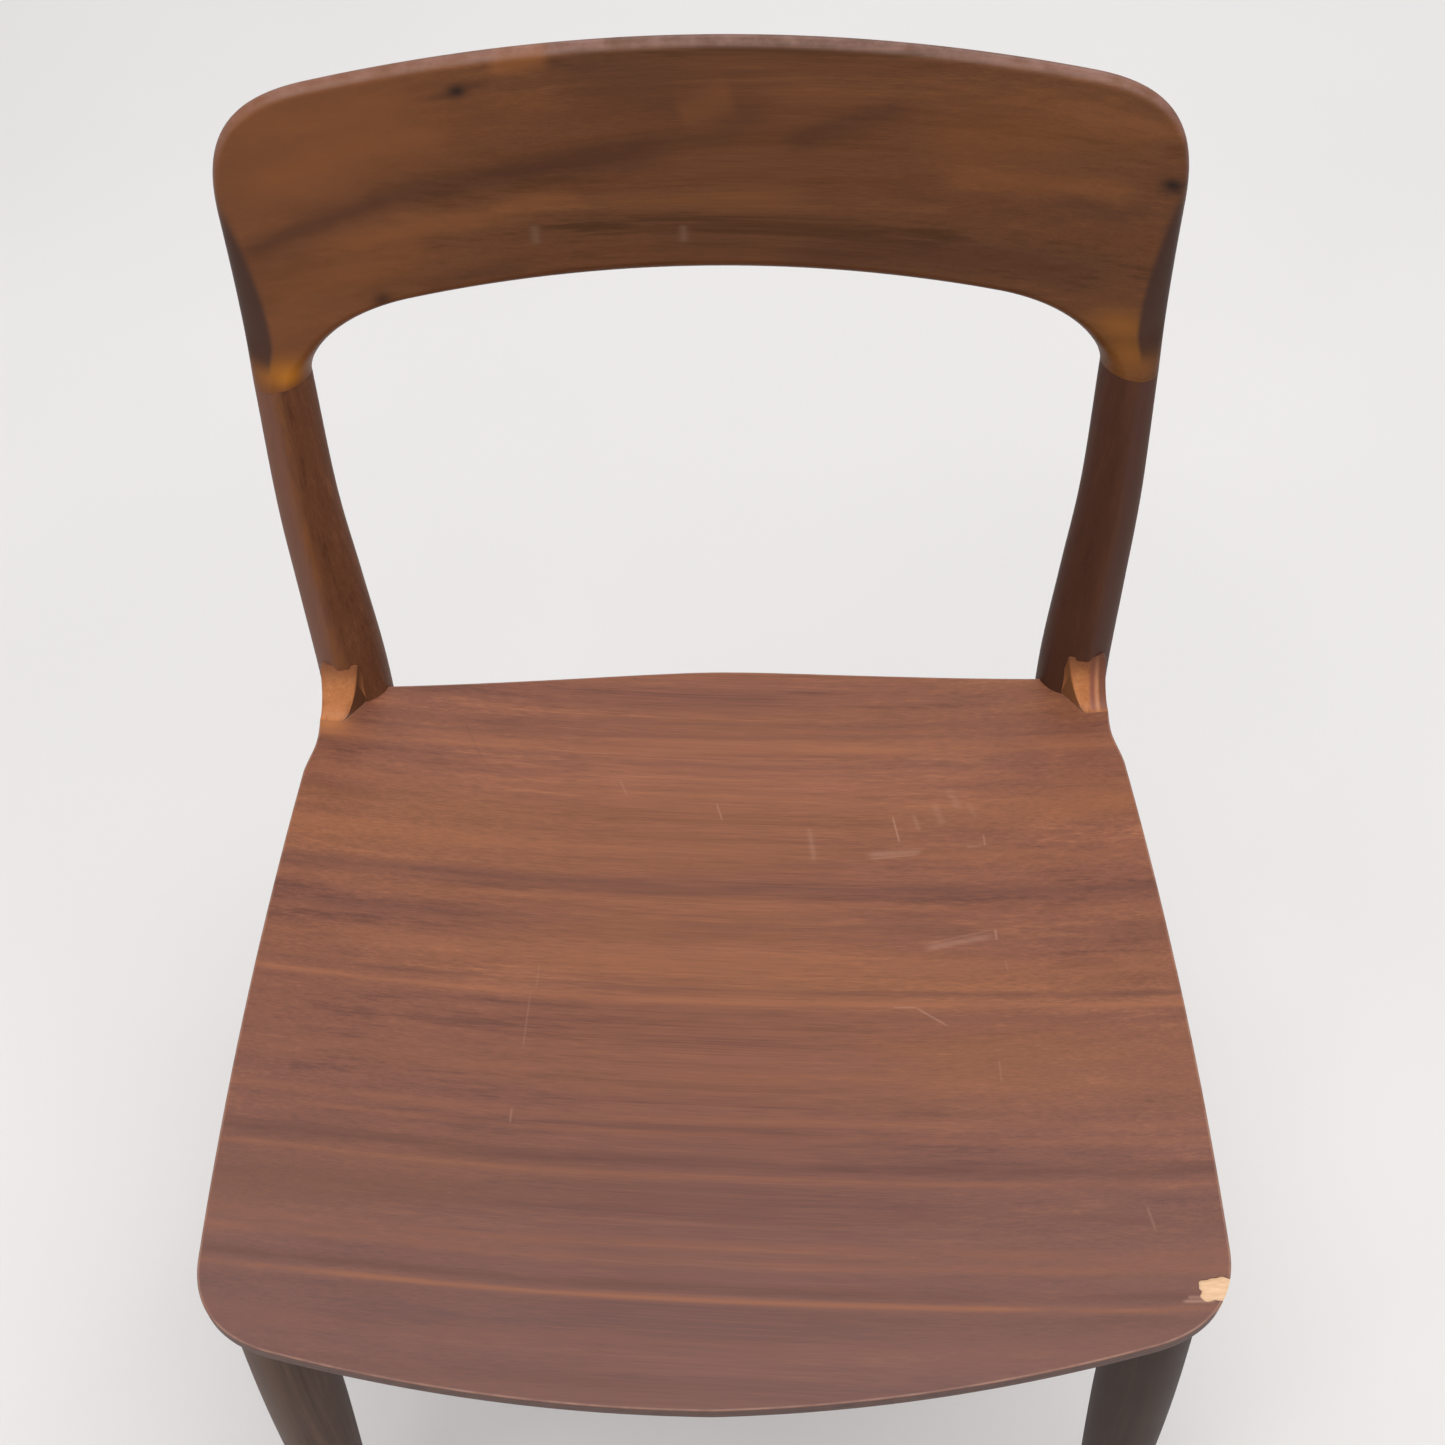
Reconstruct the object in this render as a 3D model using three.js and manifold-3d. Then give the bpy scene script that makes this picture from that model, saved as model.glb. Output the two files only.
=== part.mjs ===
// A side chair in solid hardwood with a bent plywood seat, in the mid-century Danish manner.
// Millimetres, +Z up. The chair faces -Y, and +X is on the right of a person who looks at its front.
// Every piece is modelled for the right-hand side and mirrored for the left.

import * as THREE from "three";
import { mergeVertices } from "three/addons/utils/BufferGeometryUtils.js";
import Module from "manifold-3d";

const wasm = await Module();
wasm.setup();

// ---------------------------------------------------------------- driving dimensions

const gap = 0.3;                 // clearance between neighbouring pieces
const postClearance = 0.5;       // clearance between the seat and the posts that it is cut round
const pegClearance = 0.15;       // clearance round a dowel in its hole
const pegEndClearance = 0.5;     // and beyond each end of it

const seat = {
  front: -207.5,                 // middle of the front edge, along Y
  back: 229.8,                   // middle of the back edge, along Y
  halfWidth: 247,                // widest, just behind the front corners
  widestAt: -138,                // where the front corner ends and the side begins, along Y
  frontCornerX: 205,             // where the bowed front edge ends and the corner begins
  frontBow: 24,                  // how far the front edge sweeps back by then
  sideEndX: 229.5,               // the side edge at its rear end
  sideEndY: 150,
  flushY: 178,                   // behind this the side edge runs straight
  notchY: 186,                   // front of the notch that clears the side rail
  flushX: 224.2,                 // the side edge behind that, flush with the side rail
  notchX: 204.6,                 // inner side of that notch, at its front
  notchRearX: 202.2,             // and at its rear
  notchChamfer: 0.8,
  notchRound: 3,                 // how far the side edge comes in as it turns into the notch
  backCornerX: 196,              // corner of the panel in the room of the post, which cuts it away
  backCornerY: 212.8,
  backPullX: 52,                 // control point of the curved back edge
  middleHeight: 434,             // upper face, in the middle
  dish: 20,                      // how much higher the side edges are
  dishPower: 2.2,
  fall: 0.0077,                  // slope down towards the back
  thickness: 10.5,
  veneer: 0.9,
  layerGap: 0.1,
};

const crest = {
  thickness: 24,                 // along Y, at the posts and along the lower edge
  topThickness: 10,              // along the top edge, where the back face comes forward
  thinFrom: 0.05,                // part of the half outline, from the joint, where that begins
  thinReach: 0.4,                // and where it is complete
  edgeRadius: 9,                 // how far in from the outline the faces begin to round off
  topRadius: 4,                  // the same along the thin top edge
  jointHeight: 657,              // where the lobes stand on the posts
  frontY: 277,                   // front face in the middle, at frontHeight
  frontHeight: 690,
  recline: 0.25,                 // backward run for each unit of height
  splay: 0.02,                   // outward run of the post for each unit of height, at the joint
  planBow: 6.3e-4,               // the ends come forward by this times x squared
  jointRidge: 0.35,              // how far the front is drawn out to a ridge, where a lobe meets its post
  facet: 0.9,                    // the same for the flat on a lobe's outer side, where it is strongest
  facetRise: 0.08,               // part of the half outline over which that flat opens
  facetReach: 0.34,              // and where it has closed again
  facetFall: 1.6,                // 1 for an even closing, and more for one that is quick at first
};

// The right half of the crest rail's outline, seen from the front as [x, z]. Each "pull" is a control
// point of the curve between its neighbours.
const crestOutline = {
  outerFoot: [229.8, crest.jointHeight],
  outerFootPull: [229.7, 703],
  side: [231.2, 752],
  sidePull: [232, 789],
  shoulderPull: [221.5, 805],
  shoulder: [183, 807],
  topPull: [92, 812.8],
  top: [0, 812.8],
  innerFoot: [201.2, crest.jointHeight],
  innerFootPull: [199.4, 672],
  armpitPull: [183, 688.5],
  armpit: [146, 691.5],
  bottomPull: [73, 696],
  bottom: [0, 696],
};

// The cross rails run between the legs, and a leg's own shape trims each end.
const frontRail = { y: -149, thickness: 20, bottom: 382, edge: 2, halfLength: 215 };
const rearRail = { y: 208, thickness: 14, bottom: 382, edge: 2, halfLength: 188 };
const railTop = 446;             // higher than the seat's underside, which trims every rail

const sideRail = {
  thickness: 19,
  bottom: 382,
  frontX: 215.5,                 // centre line at the front leg
  rearX: 217.6,                  // centre line at the rear post, if it ran on straight
  rearY: 206,
  bendFrom: 130,                 // where the rear end starts to bend inwards, along Y
  bendIn: 5,                     // how far in it has come at the post
  coveY: 197,                    // the cove leaves the seat in front of this, along Y
  horn: 474,                     // top of the rear end that sweeps up against the post
  hornY: 205,
  tipDrop: 2,                    // the horn's top falls by this to its rear end
  coveLift: 3,                   // height above railTop of the cove's control point
  coveLead: 5,                   // the cove starts this far in front of the seat's notch, out of sight
  intoPost: 5,                   // the blank runs on into the post by this, and the post trims it
  edge: 1.5,
};

const dowel = { radius: 4, chamfer: 1, intoRail: 20, intoLeg: 13 };
const crossDowelHeights = [392, 420];
const sideDowelHeights = [400, 422];
const crestDowel = { radius: 5, chamfer: 1, length: 50 };
const screw = { radius: 2.1, headRadius: 4.2, headDepth: 2.8, tip: 6, slotWidth: 1.1, slotDepth: 1.2 };
const glide = { footRadius: 7, radius: 9.5, height: 3, nailRadius: 1.2, nailTop: 20 };

const frontBlock = { reach: 55, clip: 13, bottom: 392, screwHeight: 407, intoLeg: 14 };
const rearBlock = { reach: 70, clip: 34, bottom: 392, screwHeight: 407, intoLeg: 13 };
const seatScrew = { intoSeat: 8, alongRail: 38, offRail: 8.5 };

const ring = 20;                 // facets round a leg or the crest rail
const outlineSteps = 5;          // chords to each curve of the seat's outline
const seatSlices = 18;           // flat strips across the bent seat
const plankSteps = 14;           // straight pieces along a bent side rail
const wide = 60;                 // how far a cutting tool reaches past what it cuts
const pegRing = 10;              // facets round a dowel or a screw

// Stations up the front leg: a round, tapered leg, thickest just under the seat rails.
const frontLegStations = [
  { z: glide.height + gap, x: 231.5, y: -152, size: 28 },
  { z: 120, x: 227.4, y: -151.5, size: 34.5 },
  { z: 240, x: 222.9, y: -151, size: 40.5 },
  { z: 330, x: 219.6, y: -150, size: 42.5 },
  { z: 445, x: 215.5, y: -149, size: 40 },
];

// Stations up the rear leg and back post. A ridge of 0 is a plain rounded section and 1 has the
// front drawn out to a soft ridge, with a facet on either side. Turn is how far the outer side of
// the section stands forward of the inner side, for each unit of its width.
const rearLegStations = [
  { z: glide.height + gap, x: 209, y: 262, width: 27, depth: 26, ridge: 0, flat: 0.1, turn: 0 },
  { z: 150, x: 208, y: 237, width: 32.5, depth: 32, ridge: 0.05, flat: 0.15, turn: 0 },
  { z: 300, x: 207.2, y: 219.5, width: 37.5, depth: 37, ridge: 0.1, flat: 0.3, turn: 0 },
  { z: 400, x: 207, y: 215, width: 40, depth: 38, ridge: 0.2, flat: 0.35, turn: 0 },
  { z: 460, x: 207.6, y: 220.4, width: 39, depth: 36, ridge: 0.3, flat: 0.3, turn: 0.02 },
  { z: 520, x: 211.2, y: 229.2, width: 35.5, depth: 32, ridge: 0.45, flat: 0.2, turn: 0.11 },
  { z: 580, x: 214.8, y: 238.6, width: 31.6, depth: 27.5, ridge: 0.45, flat: 0.2, turn: 0.2 },
  { z: crest.jointHeight - gap, x: 215.5, y: 251.5, width: 28.6, depth: 24,
    ridge: crest.jointRidge, flat: 0.3, turn: 0.27 },
];
const ridgeAt = 0.14;            // where the ridge stands, from -1 at the inner to +1 at the outer side

// ---------------------------------------------------------------- finishes

const finishes = {
  crestWood: { color: 0x6b4026, roughness: 0.45, metalness: 0 },
  legWood: { color: 0x4a2c22, roughness: 0.45, metalness: 0 },
  railWood: { color: 0xa8683f, roughness: 0.5, metalness: 0 },
  seatVeneer: { color: 0x8a5a45, roughness: 0.42, metalness: 0 },
  plyCore: { color: 0xcfa878, roughness: 0.6, metalness: 0 },
  beech: { color: 0xd0ab7c, roughness: 0.7, metalness: 0 },
  steel: { color: 0x8f8d88, roughness: 0.35, metalness: 1 },
  nylon: { color: 0x2d2824, roughness: 0.5, metalness: 0 },
};

// ---------------------------------------------------------------- solids and booleans

// Welds a closed geometry and drops the triangles that have collapsed to a line.
function welded(geometry) {
  const bare = geometry.clone();
  bare.deleteAttribute("normal");
  bare.deleteAttribute("uv");
  const merged = mergeVertices(bare, 1e-3);
  const index = merged.getIndex().array;
  const kept = [];
  for (let i = 0; i < index.length; i += 3) {
    const [a, b, c] = [index[i], index[i + 1], index[i + 2]];
    if (a !== b && b !== c && c !== a) kept.push(a, b, c);
  }
  merged.setIndex(kept);
  return merged;
}

function solid(geometry) {
  const closed = welded(geometry);
  return new wasm.Manifold(new wasm.Mesh({
    numProp: 3,
    vertProperties: Float32Array.from(closed.getAttribute("position").array),
    triVerts: Uint32Array.from(closed.getIndex().array),
  }));
}

function toGeometry(manifold) {
  const mesh = manifold.getMesh();
  const geometry = new THREE.BufferGeometry();
  geometry.setAttribute("position", new THREE.BufferAttribute(mesh.vertProperties, 3));
  geometry.setIndex(new THREE.BufferAttribute(mesh.triVerts, 1));
  return geometry;
}

function minus(geometry, ...tools) {
  let result = solid(geometry);
  for (const tool of tools) result = result.subtract(solid(tool));
  return toGeometry(result);
}

function common(first, second) {
  return toGeometry(solid(first).intersect(solid(second)));
}

// Moves every vertex of a geometry to the place that the function gives for it.
function reshaped(geometry, place) {
  const position = geometry.getAttribute("position");
  const vertex = new THREE.Vector3();
  for (let i = 0; i < position.count; i += 1) {
    vertex.fromBufferAttribute(position, i);
    place(vertex);
    position.setXYZ(i, vertex.x, vertex.y, vertex.z);
  }
  return geometry;
}

function mirrored(geometry) {
  const copy = geometry.index ? geometry.clone() : welded(geometry);
  copy.scale(-1, 1, 1);
  const index = copy.getIndex().array;
  for (let i = 0; i < index.length; i += 3) [index[i], index[i + 1]] = [index[i + 1], index[i]];
  return copy;
}

// ---------------------------------------------------------------- lofted sections

// How far the surface stands from the middle of a section, from 0 to 1, at `across` from -1 (inner)
// to 1 (outer). The section is flat for `flat` of its half width and rounds off beyond that. On
// the front, `outerFacet` and `innerFacet` draw the flat part in towards the ridge.
function sectionDepth(across, isFront, flat, outerFacet, innerFacet) {
  const isOuter = across > (isFront ? THREE.MathUtils.lerp(0, ridgeAt, outerFacet) : 0);
  const facet = isFront ? (isOuter ? outerFacet : innerFacet) : 0;
  const side = isOuter ? 1 : -1;
  const start = THREE.MathUtils.lerp(side * flat, ridgeAt, facet);
  const fall = Math.max(0, (across - start) * side) / (1 - start * side);
  const rounded = Math.sqrt(Math.max(0, 1 - fall * fall));
  const faceted = Math.pow(Math.max(0, 1 - fall), 0.72);
  return THREE.MathUtils.lerp(rounded, faceted, facet);
}

// A closed loft. place(along, across, depth, vertex) gives the point for a station from 0 to 1 and a
// point of the unit circle; depth is +1 on the front.
function loft(stations, place) {
  const tube = new THREE.CylinderGeometry(1, 1, 1, ring, stations);
  return reshaped(tube, (vertex) => {
    const onAxis = Math.hypot(vertex.x, vertex.z) < 0.5;
    place(vertex.y + 0.5, onAxis ? 0 : vertex.x, onAxis ? 0 : vertex.z, vertex);
  });
}

// Smooth interpolation of named values up a list of stations.
function stationCurve(stations, names) {
  const rows = stations.map((station) => new THREE.Vector3(...names.map((name) => station[name])));
  return new THREE.CatmullRomCurve3(rows, false, "catmullrom", 0.5);
}

function frontLeg(clearance = 0) {
  const path = stationCurve(frontLegStations, ["x", "y", "z"]);
  const sizes = stationCurve(frontLegStations, ["size", "size", "size"]);
  return loft(12, (along, across, depth, vertex) => {
    const centre = path.getPoint(along);
    const radius = sizes.getPoint(along).x / 2 + clearance;
    vertex.set(centre.x + across * radius, centre.y - depth * radius, centre.z);
  });
}

function rearLeg(clearance = 0) {
  const path = stationCurve(rearLegStations, ["x", "y", "z"]);
  const sizes = stationCurve(rearLegStations, ["width", "depth", "ridge"]);
  const shapes = stationCurve(rearLegStations, ["flat", "turn", "turn"]);
  return loft(22, (along, across, depth, vertex) => {
    const centre = path.getPoint(along);
    const size = sizes.getPoint(along);
    const shape = shapes.getPoint(along);
    const ridge = THREE.MathUtils.clamp(size.z, 0, 1);
    const stand = depth === 0 ? 0 : sectionDepth(across, depth > 0, shape.x, ridge, ridge);
    const aside = across * (size.x / 2 + clearance);
    const reach = stand * (size.y / 2 + clearance) * Math.sign(depth);
    vertex.set(centre.x + aside, centre.y - reach - shape.y * aside, centre.z);
  });
}

// ---------------------------------------------------------------- crest rail

// The right half of the two long edges, seen from the front, from the joint to the middle.
function crestEdges() {
  const at = ([x, z]) => new THREE.Vector2(x, z);
  const edge = crestOutline;
  const outer = new THREE.CurvePath();
  outer.add(new THREE.QuadraticBezierCurve(at(edge.outerFoot), at(edge.outerFootPull), at(edge.side)));
  outer.add(new THREE.CubicBezierCurve(
    at(edge.side), at(edge.sidePull), at(edge.shoulderPull), at(edge.shoulder)));
  outer.add(new THREE.QuadraticBezierCurve(at(edge.shoulder), at(edge.topPull), at(edge.top)));

  const inner = new THREE.CurvePath();
  inner.add(new THREE.CubicBezierCurve(
    at(edge.innerFoot), at(edge.innerFootPull), at(edge.armpitPull), at(edge.armpit)));
  inner.add(new THREE.QuadraticBezierCurve(at(edge.armpit), at(edge.bottomPull), at(edge.bottom)));
  return { outer, inner };
}

function crestRail() {
  const { outer, inner } = crestEdges();
  return loft(36, (along, across, depth, vertex) => {
    const fromJoint = Math.min(along, 1 - along) * 2;
    const side = along < 0.5 ? 1 : -1;
    const top = outer.getPointAt(fromJoint);
    const bottom = inner.getPointAt(fromJoint);
    const halfWidth = top.distanceTo(bottom) / 2;
    const opening = THREE.MathUtils.smoothstep(fromJoint, 0, crest.facetRise);
    const left = 1 - (fromJoint - crest.facetRise) / (crest.facetReach - crest.facetRise);
    const closing = THREE.MathUtils.clamp(left, 0, 1) ** crest.facetFall;
    const facet = THREE.MathUtils.lerp(crest.jointRidge, crest.facet, opening) * closing;
    const innerFacet = crest.jointRidge * (1 - opening);
    const thinning = THREE.MathUtils.smoothstep(fromJoint, crest.thinFrom, crest.thinReach);
    const outerRadius = THREE.MathUtils.lerp(crest.edgeRadius, crest.topRadius, thinning);
    const flat = 1 - (across > 0 ? outerRadius : crest.edgeRadius) / halfWidth;
    const stand = depth === 0 ? 0 : sectionDepth(across, depth > 0, flat, facet, innerFacet);
    const upwards = THREE.MathUtils.smoothstep(across, -0.5, 1);
    const thickness = THREE.MathUtils.lerp(crest.thickness, crest.topThickness, thinning * upwards);
    const x = THREE.MathUtils.lerp(bottom.x, top.x, (across + 1) / 2);
    const z = THREE.MathUtils.lerp(bottom.y, top.y, (across + 1) / 2);
    const front = crest.frontY + crest.recline * (z - crest.frontHeight) - crest.planBow * x * x;
    vertex.set(side * x, front + thickness / 2 * (1 - stand * Math.sign(depth)), z);
  });
}

// ---------------------------------------------------------------- seat

// The upper face of the seat is bent across its width and slopes down a little to the back.
function seatHeight(x, y) {
  const bend = Math.pow(Math.abs(x) / seat.halfWidth, seat.dishPower);
  return seat.middleHeight + seat.dish * bend - seat.fall * y;
}

// A bent sheet between two offsets from the seat's upper face, wider and longer than the seat.
function bentSheet(top, bottom, backEnd = seat.back + wide) {
  const width = 2 * (seat.halfWidth + wide / 3);
  const frontEnd = seat.front - wide;
  const box = new THREE.BoxGeometry(width, backEnd - frontEnd, 1, seatSlices, 1, 1);
  return reshaped(box, (vertex) => {
    const y = vertex.y + (backEnd + frontEnd) / 2;
    const offset = vertex.z > 0 ? top : bottom;
    vertex.set(vertex.x, y, seatHeight(vertex.x, y) + offset);
  });
}

function seatOutline() {
  const path = new THREE.Path();
  const frontCornerY = seat.front + seat.frontBow;
  const sideEndPull = { x: 1.9, y: 11 };  // from the side's end to its next control point
  const flushLead = 12;             // the side edge's last control point stands this far in front
  const cornerRadius = 4;          // of the corner in the post's room
  const flatFront = 2;             // the front's control point stands this far behind its middle
  const squareCorner = 8;          // the front corner's control point stands this far behind its start
  path.moveTo(0, seat.front);
  path.quadraticCurveTo(seat.frontCornerX / 2, seat.front + flatFront, seat.frontCornerX, frontCornerY);
  path.quadraticCurveTo(seat.halfWidth, frontCornerY + squareCorner, seat.halfWidth, seat.widestAt);
  path.quadraticCurveTo(seat.halfWidth - 1, 0, seat.sideEndX, seat.sideEndY);
  path.bezierCurveTo(
    seat.sideEndX - sideEndPull.x, seat.sideEndY + sideEndPull.y,
    seat.flushX, seat.flushY - flushLead, seat.flushX, seat.flushY,
  );
  path.lineTo(seat.flushX, seat.notchY - seat.notchRound);
  path.quadraticCurveTo(seat.flushX, seat.notchY, seat.flushX - seat.notchRound, seat.notchY);
  path.lineTo(seat.notchX + seat.notchChamfer, seat.notchY);
  path.lineTo(seat.notchX, seat.notchY + seat.notchChamfer);
  path.lineTo(seat.notchRearX, seat.backCornerY - cornerRadius);
  path.quadraticCurveTo(seat.notchRearX, seat.backCornerY, seat.backCornerX, seat.backCornerY);
  path.quadraticCurveTo(seat.backPullX, seat.back, 0, seat.back);
  const right = path.getPoints(outlineSteps);
  const left = right.slice(1, -1).reverse().map((point) => new THREE.Vector2(-point.x, point.y));
  return new THREE.Shape([...right, ...left]);
}

function seatLayer(top, bottom) {
  const prism = new THREE.ExtrudeGeometry(seatOutline(), { depth: 2 * wide, bevelEnabled: false });
  prism.translate(0, 0, seat.middleHeight - wide);
  const post = rearLeg(postClearance);
  return minus(common(bentSheet(top, bottom), prism), post, mirrored(post));
}

// The room that the seat takes up, and everything above it.
function seatRoom(backEnd) {
  return bentSheet(wide, -seat.thickness - gap, backEnd);
}

// ---------------------------------------------------------------- pegs: dowels, screws, glides

// A peg is a turned piece along a line. Its profile is a list of (radius, distance along) pairs that
// starts and ends on the axis.
function turned(profile) {
  const points = profile.map(([radius, along]) => new THREE.Vector2(radius, along));
  return new THREE.LatheGeometry(points, pegRing);
}

function dowelBody(radius, length, chamfer) {
  return turned([
    [0, 0], [radius - chamfer, 0], [radius, chamfer],
    [radius, length - chamfer], [radius - chamfer, length], [0, length],
  ]);
}

// A countersunk wood screw with a slotted head, head first.
function screwBody(length) {
  const body = turned([
    [0, 0], [screw.headRadius, 0], [screw.radius, screw.headDepth],
    [screw.radius, length - screw.tip], [0, length],
  ]);
  const slot = new THREE.BoxGeometry(3 * screw.headRadius, 2 * screw.slotDepth, screw.slotWidth);
  return minus(body, slot);
}

// The hole for a screw: the screw's own shape with clearance, open at the head.
function screwHole(length) {
  return turned([
    [0, -20], [screw.headRadius + gap, -20], [screw.headRadius + gap, 0.2],
    [screw.radius + gap, screw.headDepth + 0.2],
    [screw.radius + gap, length - screw.tip], [screw.radius / 2, length + 1], [0, length + 1],
  ]);
}

// The turn that lays +Y along a direction.
function aimed(direction) {
  return new THREE.Quaternion().setFromUnitVectors(new THREE.Vector3(0, 1, 0), direction);
}

function along(peg, geometry) {
  const turn = aimed(peg.end.clone().sub(peg.start).normalize());
  return geometry.clone().applyQuaternion(turn).translate(peg.start.x, peg.start.y, peg.start.z);
}

function peg(name, start, end) {
  return { name, start, end, length: start.distanceTo(end) };
}

function dowelHole(pin, radius) {
  const [wall, start, end] = [radius + pegClearance, -pegEndClearance, pin.length + pegEndClearance];
  return along(pin, turned([[0, start], [wall, start], [wall, end], [0, end]]));
}

// ---------------------------------------------------------------- where the fasteners go

// The side rail's centre line, which bends in to meet the post.
function sideRailX(y) {
  const share = (y - frontRail.y) / (sideRail.rearY - frontRail.y);
  const bend = Math.max(0, (y - sideRail.bendFrom) / (sideRail.rearY - sideRail.bendFrom));
  return THREE.MathUtils.lerp(sideRail.frontX, sideRail.rearX, share) - sideRail.bendIn * bend * bend;
}

// Two dowels across each rail end, one above the other, centred on the face between rail and leg.
function dowelPair(name, face, intoLeg, heights) {
  return heights.map((height, i) => {
    const middle = face.clone().setZ(height);
    const start = middle.clone().addScaledVector(intoLeg, -dowel.intoRail);
    const end = middle.clone().addScaledVector(intoLeg, dowel.intoLeg);
    return peg(`${name}_${i === 0 ? "lower" : "upper"}`, start, end);
  });
}

const outwards = new THREE.Vector3(1, 0, 0);
const forwards = new THREE.Vector3(0, -1, 0);
const backwards = new THREE.Vector3(0, 1, 0);
const frontLegTop = frontLegStations[4];
const rearLegKnee = rearLegStations[3];
const frontLegFace = 20.6;       // from the leg's axis to its surface, at rail height
const rearLegFace = 18.6;        // the same for the rear leg, where the rear rail meets it
const sideFrontFace = new THREE.Vector3(frontLegTop.x, frontRail.y + frontLegFace, 0);
const sideRearFace = new THREE.Vector3(213, 199, 0);   // between the side rail's end and the post
const dowels = {
  frontRail: dowelPair("front_rail_dowel",
    new THREE.Vector3(frontLegTop.x - frontLegFace, frontRail.y, 0), outwards, crossDowelHeights),
  sideFront: dowelPair("side_rail_front_dowel", sideFrontFace, forwards, sideDowelHeights),
  sideRear: dowelPair("side_rail_rear_dowel", sideRearFace, backwards, sideDowelHeights),
  rearRail: dowelPair("rear_rail_dowel",
    new THREE.Vector3(rearLegKnee.x - rearLegFace, rearRail.y, 0), outwards, crossDowelHeights),
};

const postTop = rearLegStations[rearLegStations.length - 1];
const postSlope = new THREE.Vector3(crest.splay, crest.recline, 1).normalize();
const postTopPoint = new THREE.Vector3(postTop.x, postTop.y, crest.jointHeight);
const crestPin = peg("crest_dowel",
  postTopPoint.clone().addScaledVector(postSlope, -crestDowel.length / 2),
  postTopPoint.clone().addScaledVector(postSlope, crestDowel.length / 2));

// A triangular glue block in the corner of two rails, with its corner clipped clear of the leg.
// `inwards` is +1 for a front block, which runs back along the side rail, and -1 for a rear one.
function blockPlan(block, rail, inwards) {
  const y = rail.y + inwards * (rail.thickness / 2 + gap);
  const railFace = (at) => sideRailX(at) - sideRail.thickness / 2 - gap;
  const corner = new THREE.Vector2(railFace(y), y);
  const railEnd = new THREE.Vector2(corner.x - block.reach, y);
  const sideEnd = new THREE.Vector2(railFace(y + inwards * block.reach), y + inwards * block.reach);
  const nearRail = new THREE.Vector2(corner.x - block.clip, y);
  const nearSide = new THREE.Vector2(railFace(y + inwards * block.clip), y + inwards * block.clip);
  return { corner, railEnd, sideEnd, nearRail, nearSide };
}

// The screw that runs from the middle of a block's long face, square to it, into the leg.
function blockPin(name, block, plan, leg) {
  const middle = plan.railEnd.clone().add(plan.sideEnd).multiplyScalar(0.5);
  const face = plan.sideEnd.clone().sub(plan.railEnd).normalize();
  const square = new THREE.Vector2(-face.y, face.x);
  if (square.dot(plan.corner.clone().sub(middle)) < 0) square.negate();
  const legAway = leg.clone().sub(middle).dot(square);
  const start = leg.clone().addScaledVector(square, -legAway);
  const length = legAway - frontLegFace + block.intoLeg;
  const end = start.clone().addScaledVector(square, length);
  return peg(name,
    new THREE.Vector3(start.x, start.y, block.screwHeight),
    new THREE.Vector3(end.x, end.y, block.screwHeight));
}

function seatPin(name, block, plan, inwards) {
  const x = plan.corner.x - seatScrew.alongRail - (block.clip - frontBlock.clip);
  const y = plan.corner.y + inwards * seatScrew.offRail;
  const top = seatHeight(x, y) - seat.thickness + seatScrew.intoSeat;
  return peg(name, new THREE.Vector3(x, y, block.bottom), new THREE.Vector3(x, y, top));
}

const frontPlan = blockPlan(frontBlock, frontRail, 1);
const rearPlan = blockPlan(rearBlock, rearRail, -1);
const frontBlockPin = blockPin("front_block_screw", frontBlock, frontPlan,
  new THREE.Vector2(frontLegTop.x, frontRail.y));
const rearBlockPin = blockPin("rear_block_screw", rearBlock, rearPlan,
  new THREE.Vector2(rearLegKnee.x, rearLegKnee.y));
const frontSeatPin = seatPin("front_seat_screw", frontBlock, frontPlan, 1);
const rearSeatPin = seatPin("rear_seat_screw", rearBlock, rearPlan, -1);

// ---------------------------------------------------------------- rails and blocks

function holesFor(pins) {
  return pins.map((pin) => dowelHole(pin, dowel.radius));
}

// The section of a rail, centred on x = 0 and standing on y = 0, with rounded lower edges.
function railSection(thickness, height, edge) {
  const half = thickness / 2;
  const section = new THREE.Shape();
  section.moveTo(-half + edge, 0);
  section.lineTo(half - edge, 0);
  section.quadraticCurveTo(half, 0, half, edge);
  section.lineTo(half, height);
  section.lineTo(-half, height);
  section.lineTo(-half, edge);
  section.quadraticCurveTo(-half, 0, -half + edge, 0);
  return section;
}

// Turns an extrusion so that its shape's x and y run along Y and Z, and its depth along X.
function laidAlongX(extrusion, x, y, z) {
  return extrusion.applyMatrix4(new THREE.Matrix4().set(
    0, 0, 1, x,
    1, 0, 0, y,
    0, 1, 0, z,
    0, 0, 0, 1));
}

// A straight rail between the legs.
function crossRail(rail) {
  const section = railSection(rail.thickness, railTop - rail.bottom, rail.edge);
  const bar = new THREE.ExtrudeGeometry(section, {
    depth: 2 * rail.halfLength, bevelEnabled: false, curveSegments: 3 });
  return laidAlongX(bar, -rail.halfLength, rail.y, rail.bottom);
}

function frontRailBody() {
  const leg = frontLeg(gap);
  const holes = holesFor(dowels.frontRail);
  return minus(crossRail(frontRail), seatRoom(), leg, mirrored(leg),
    ...holes, ...holes.map(mirrored));
}

function rearRailBody() {
  const leg = rearLeg(gap);
  const holes = holesFor(dowels.rearRail);
  return minus(crossRail(rearRail), seatRoom(), leg, mirrored(leg),
    ...holes, ...holes.map(mirrored));
}

// A plank that follows the side rail's centre line.
function bentPlank(frontEnd, rearEnd, top) {
  const section = railSection(sideRail.thickness, top - sideRail.bottom, sideRail.edge);
  const bar = new THREE.ExtrudeGeometry(section, {
    depth: rearEnd - frontEnd, steps: plankSteps, bevelEnabled: false, curveSegments: 3 });
  bar.rotateX(Math.PI / 2).translate(0, rearEnd, sideRail.bottom);
  return reshaped(bar, (vertex) => vertex.setX(vertex.x + sideRailX(vertex.y)));
}

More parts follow.
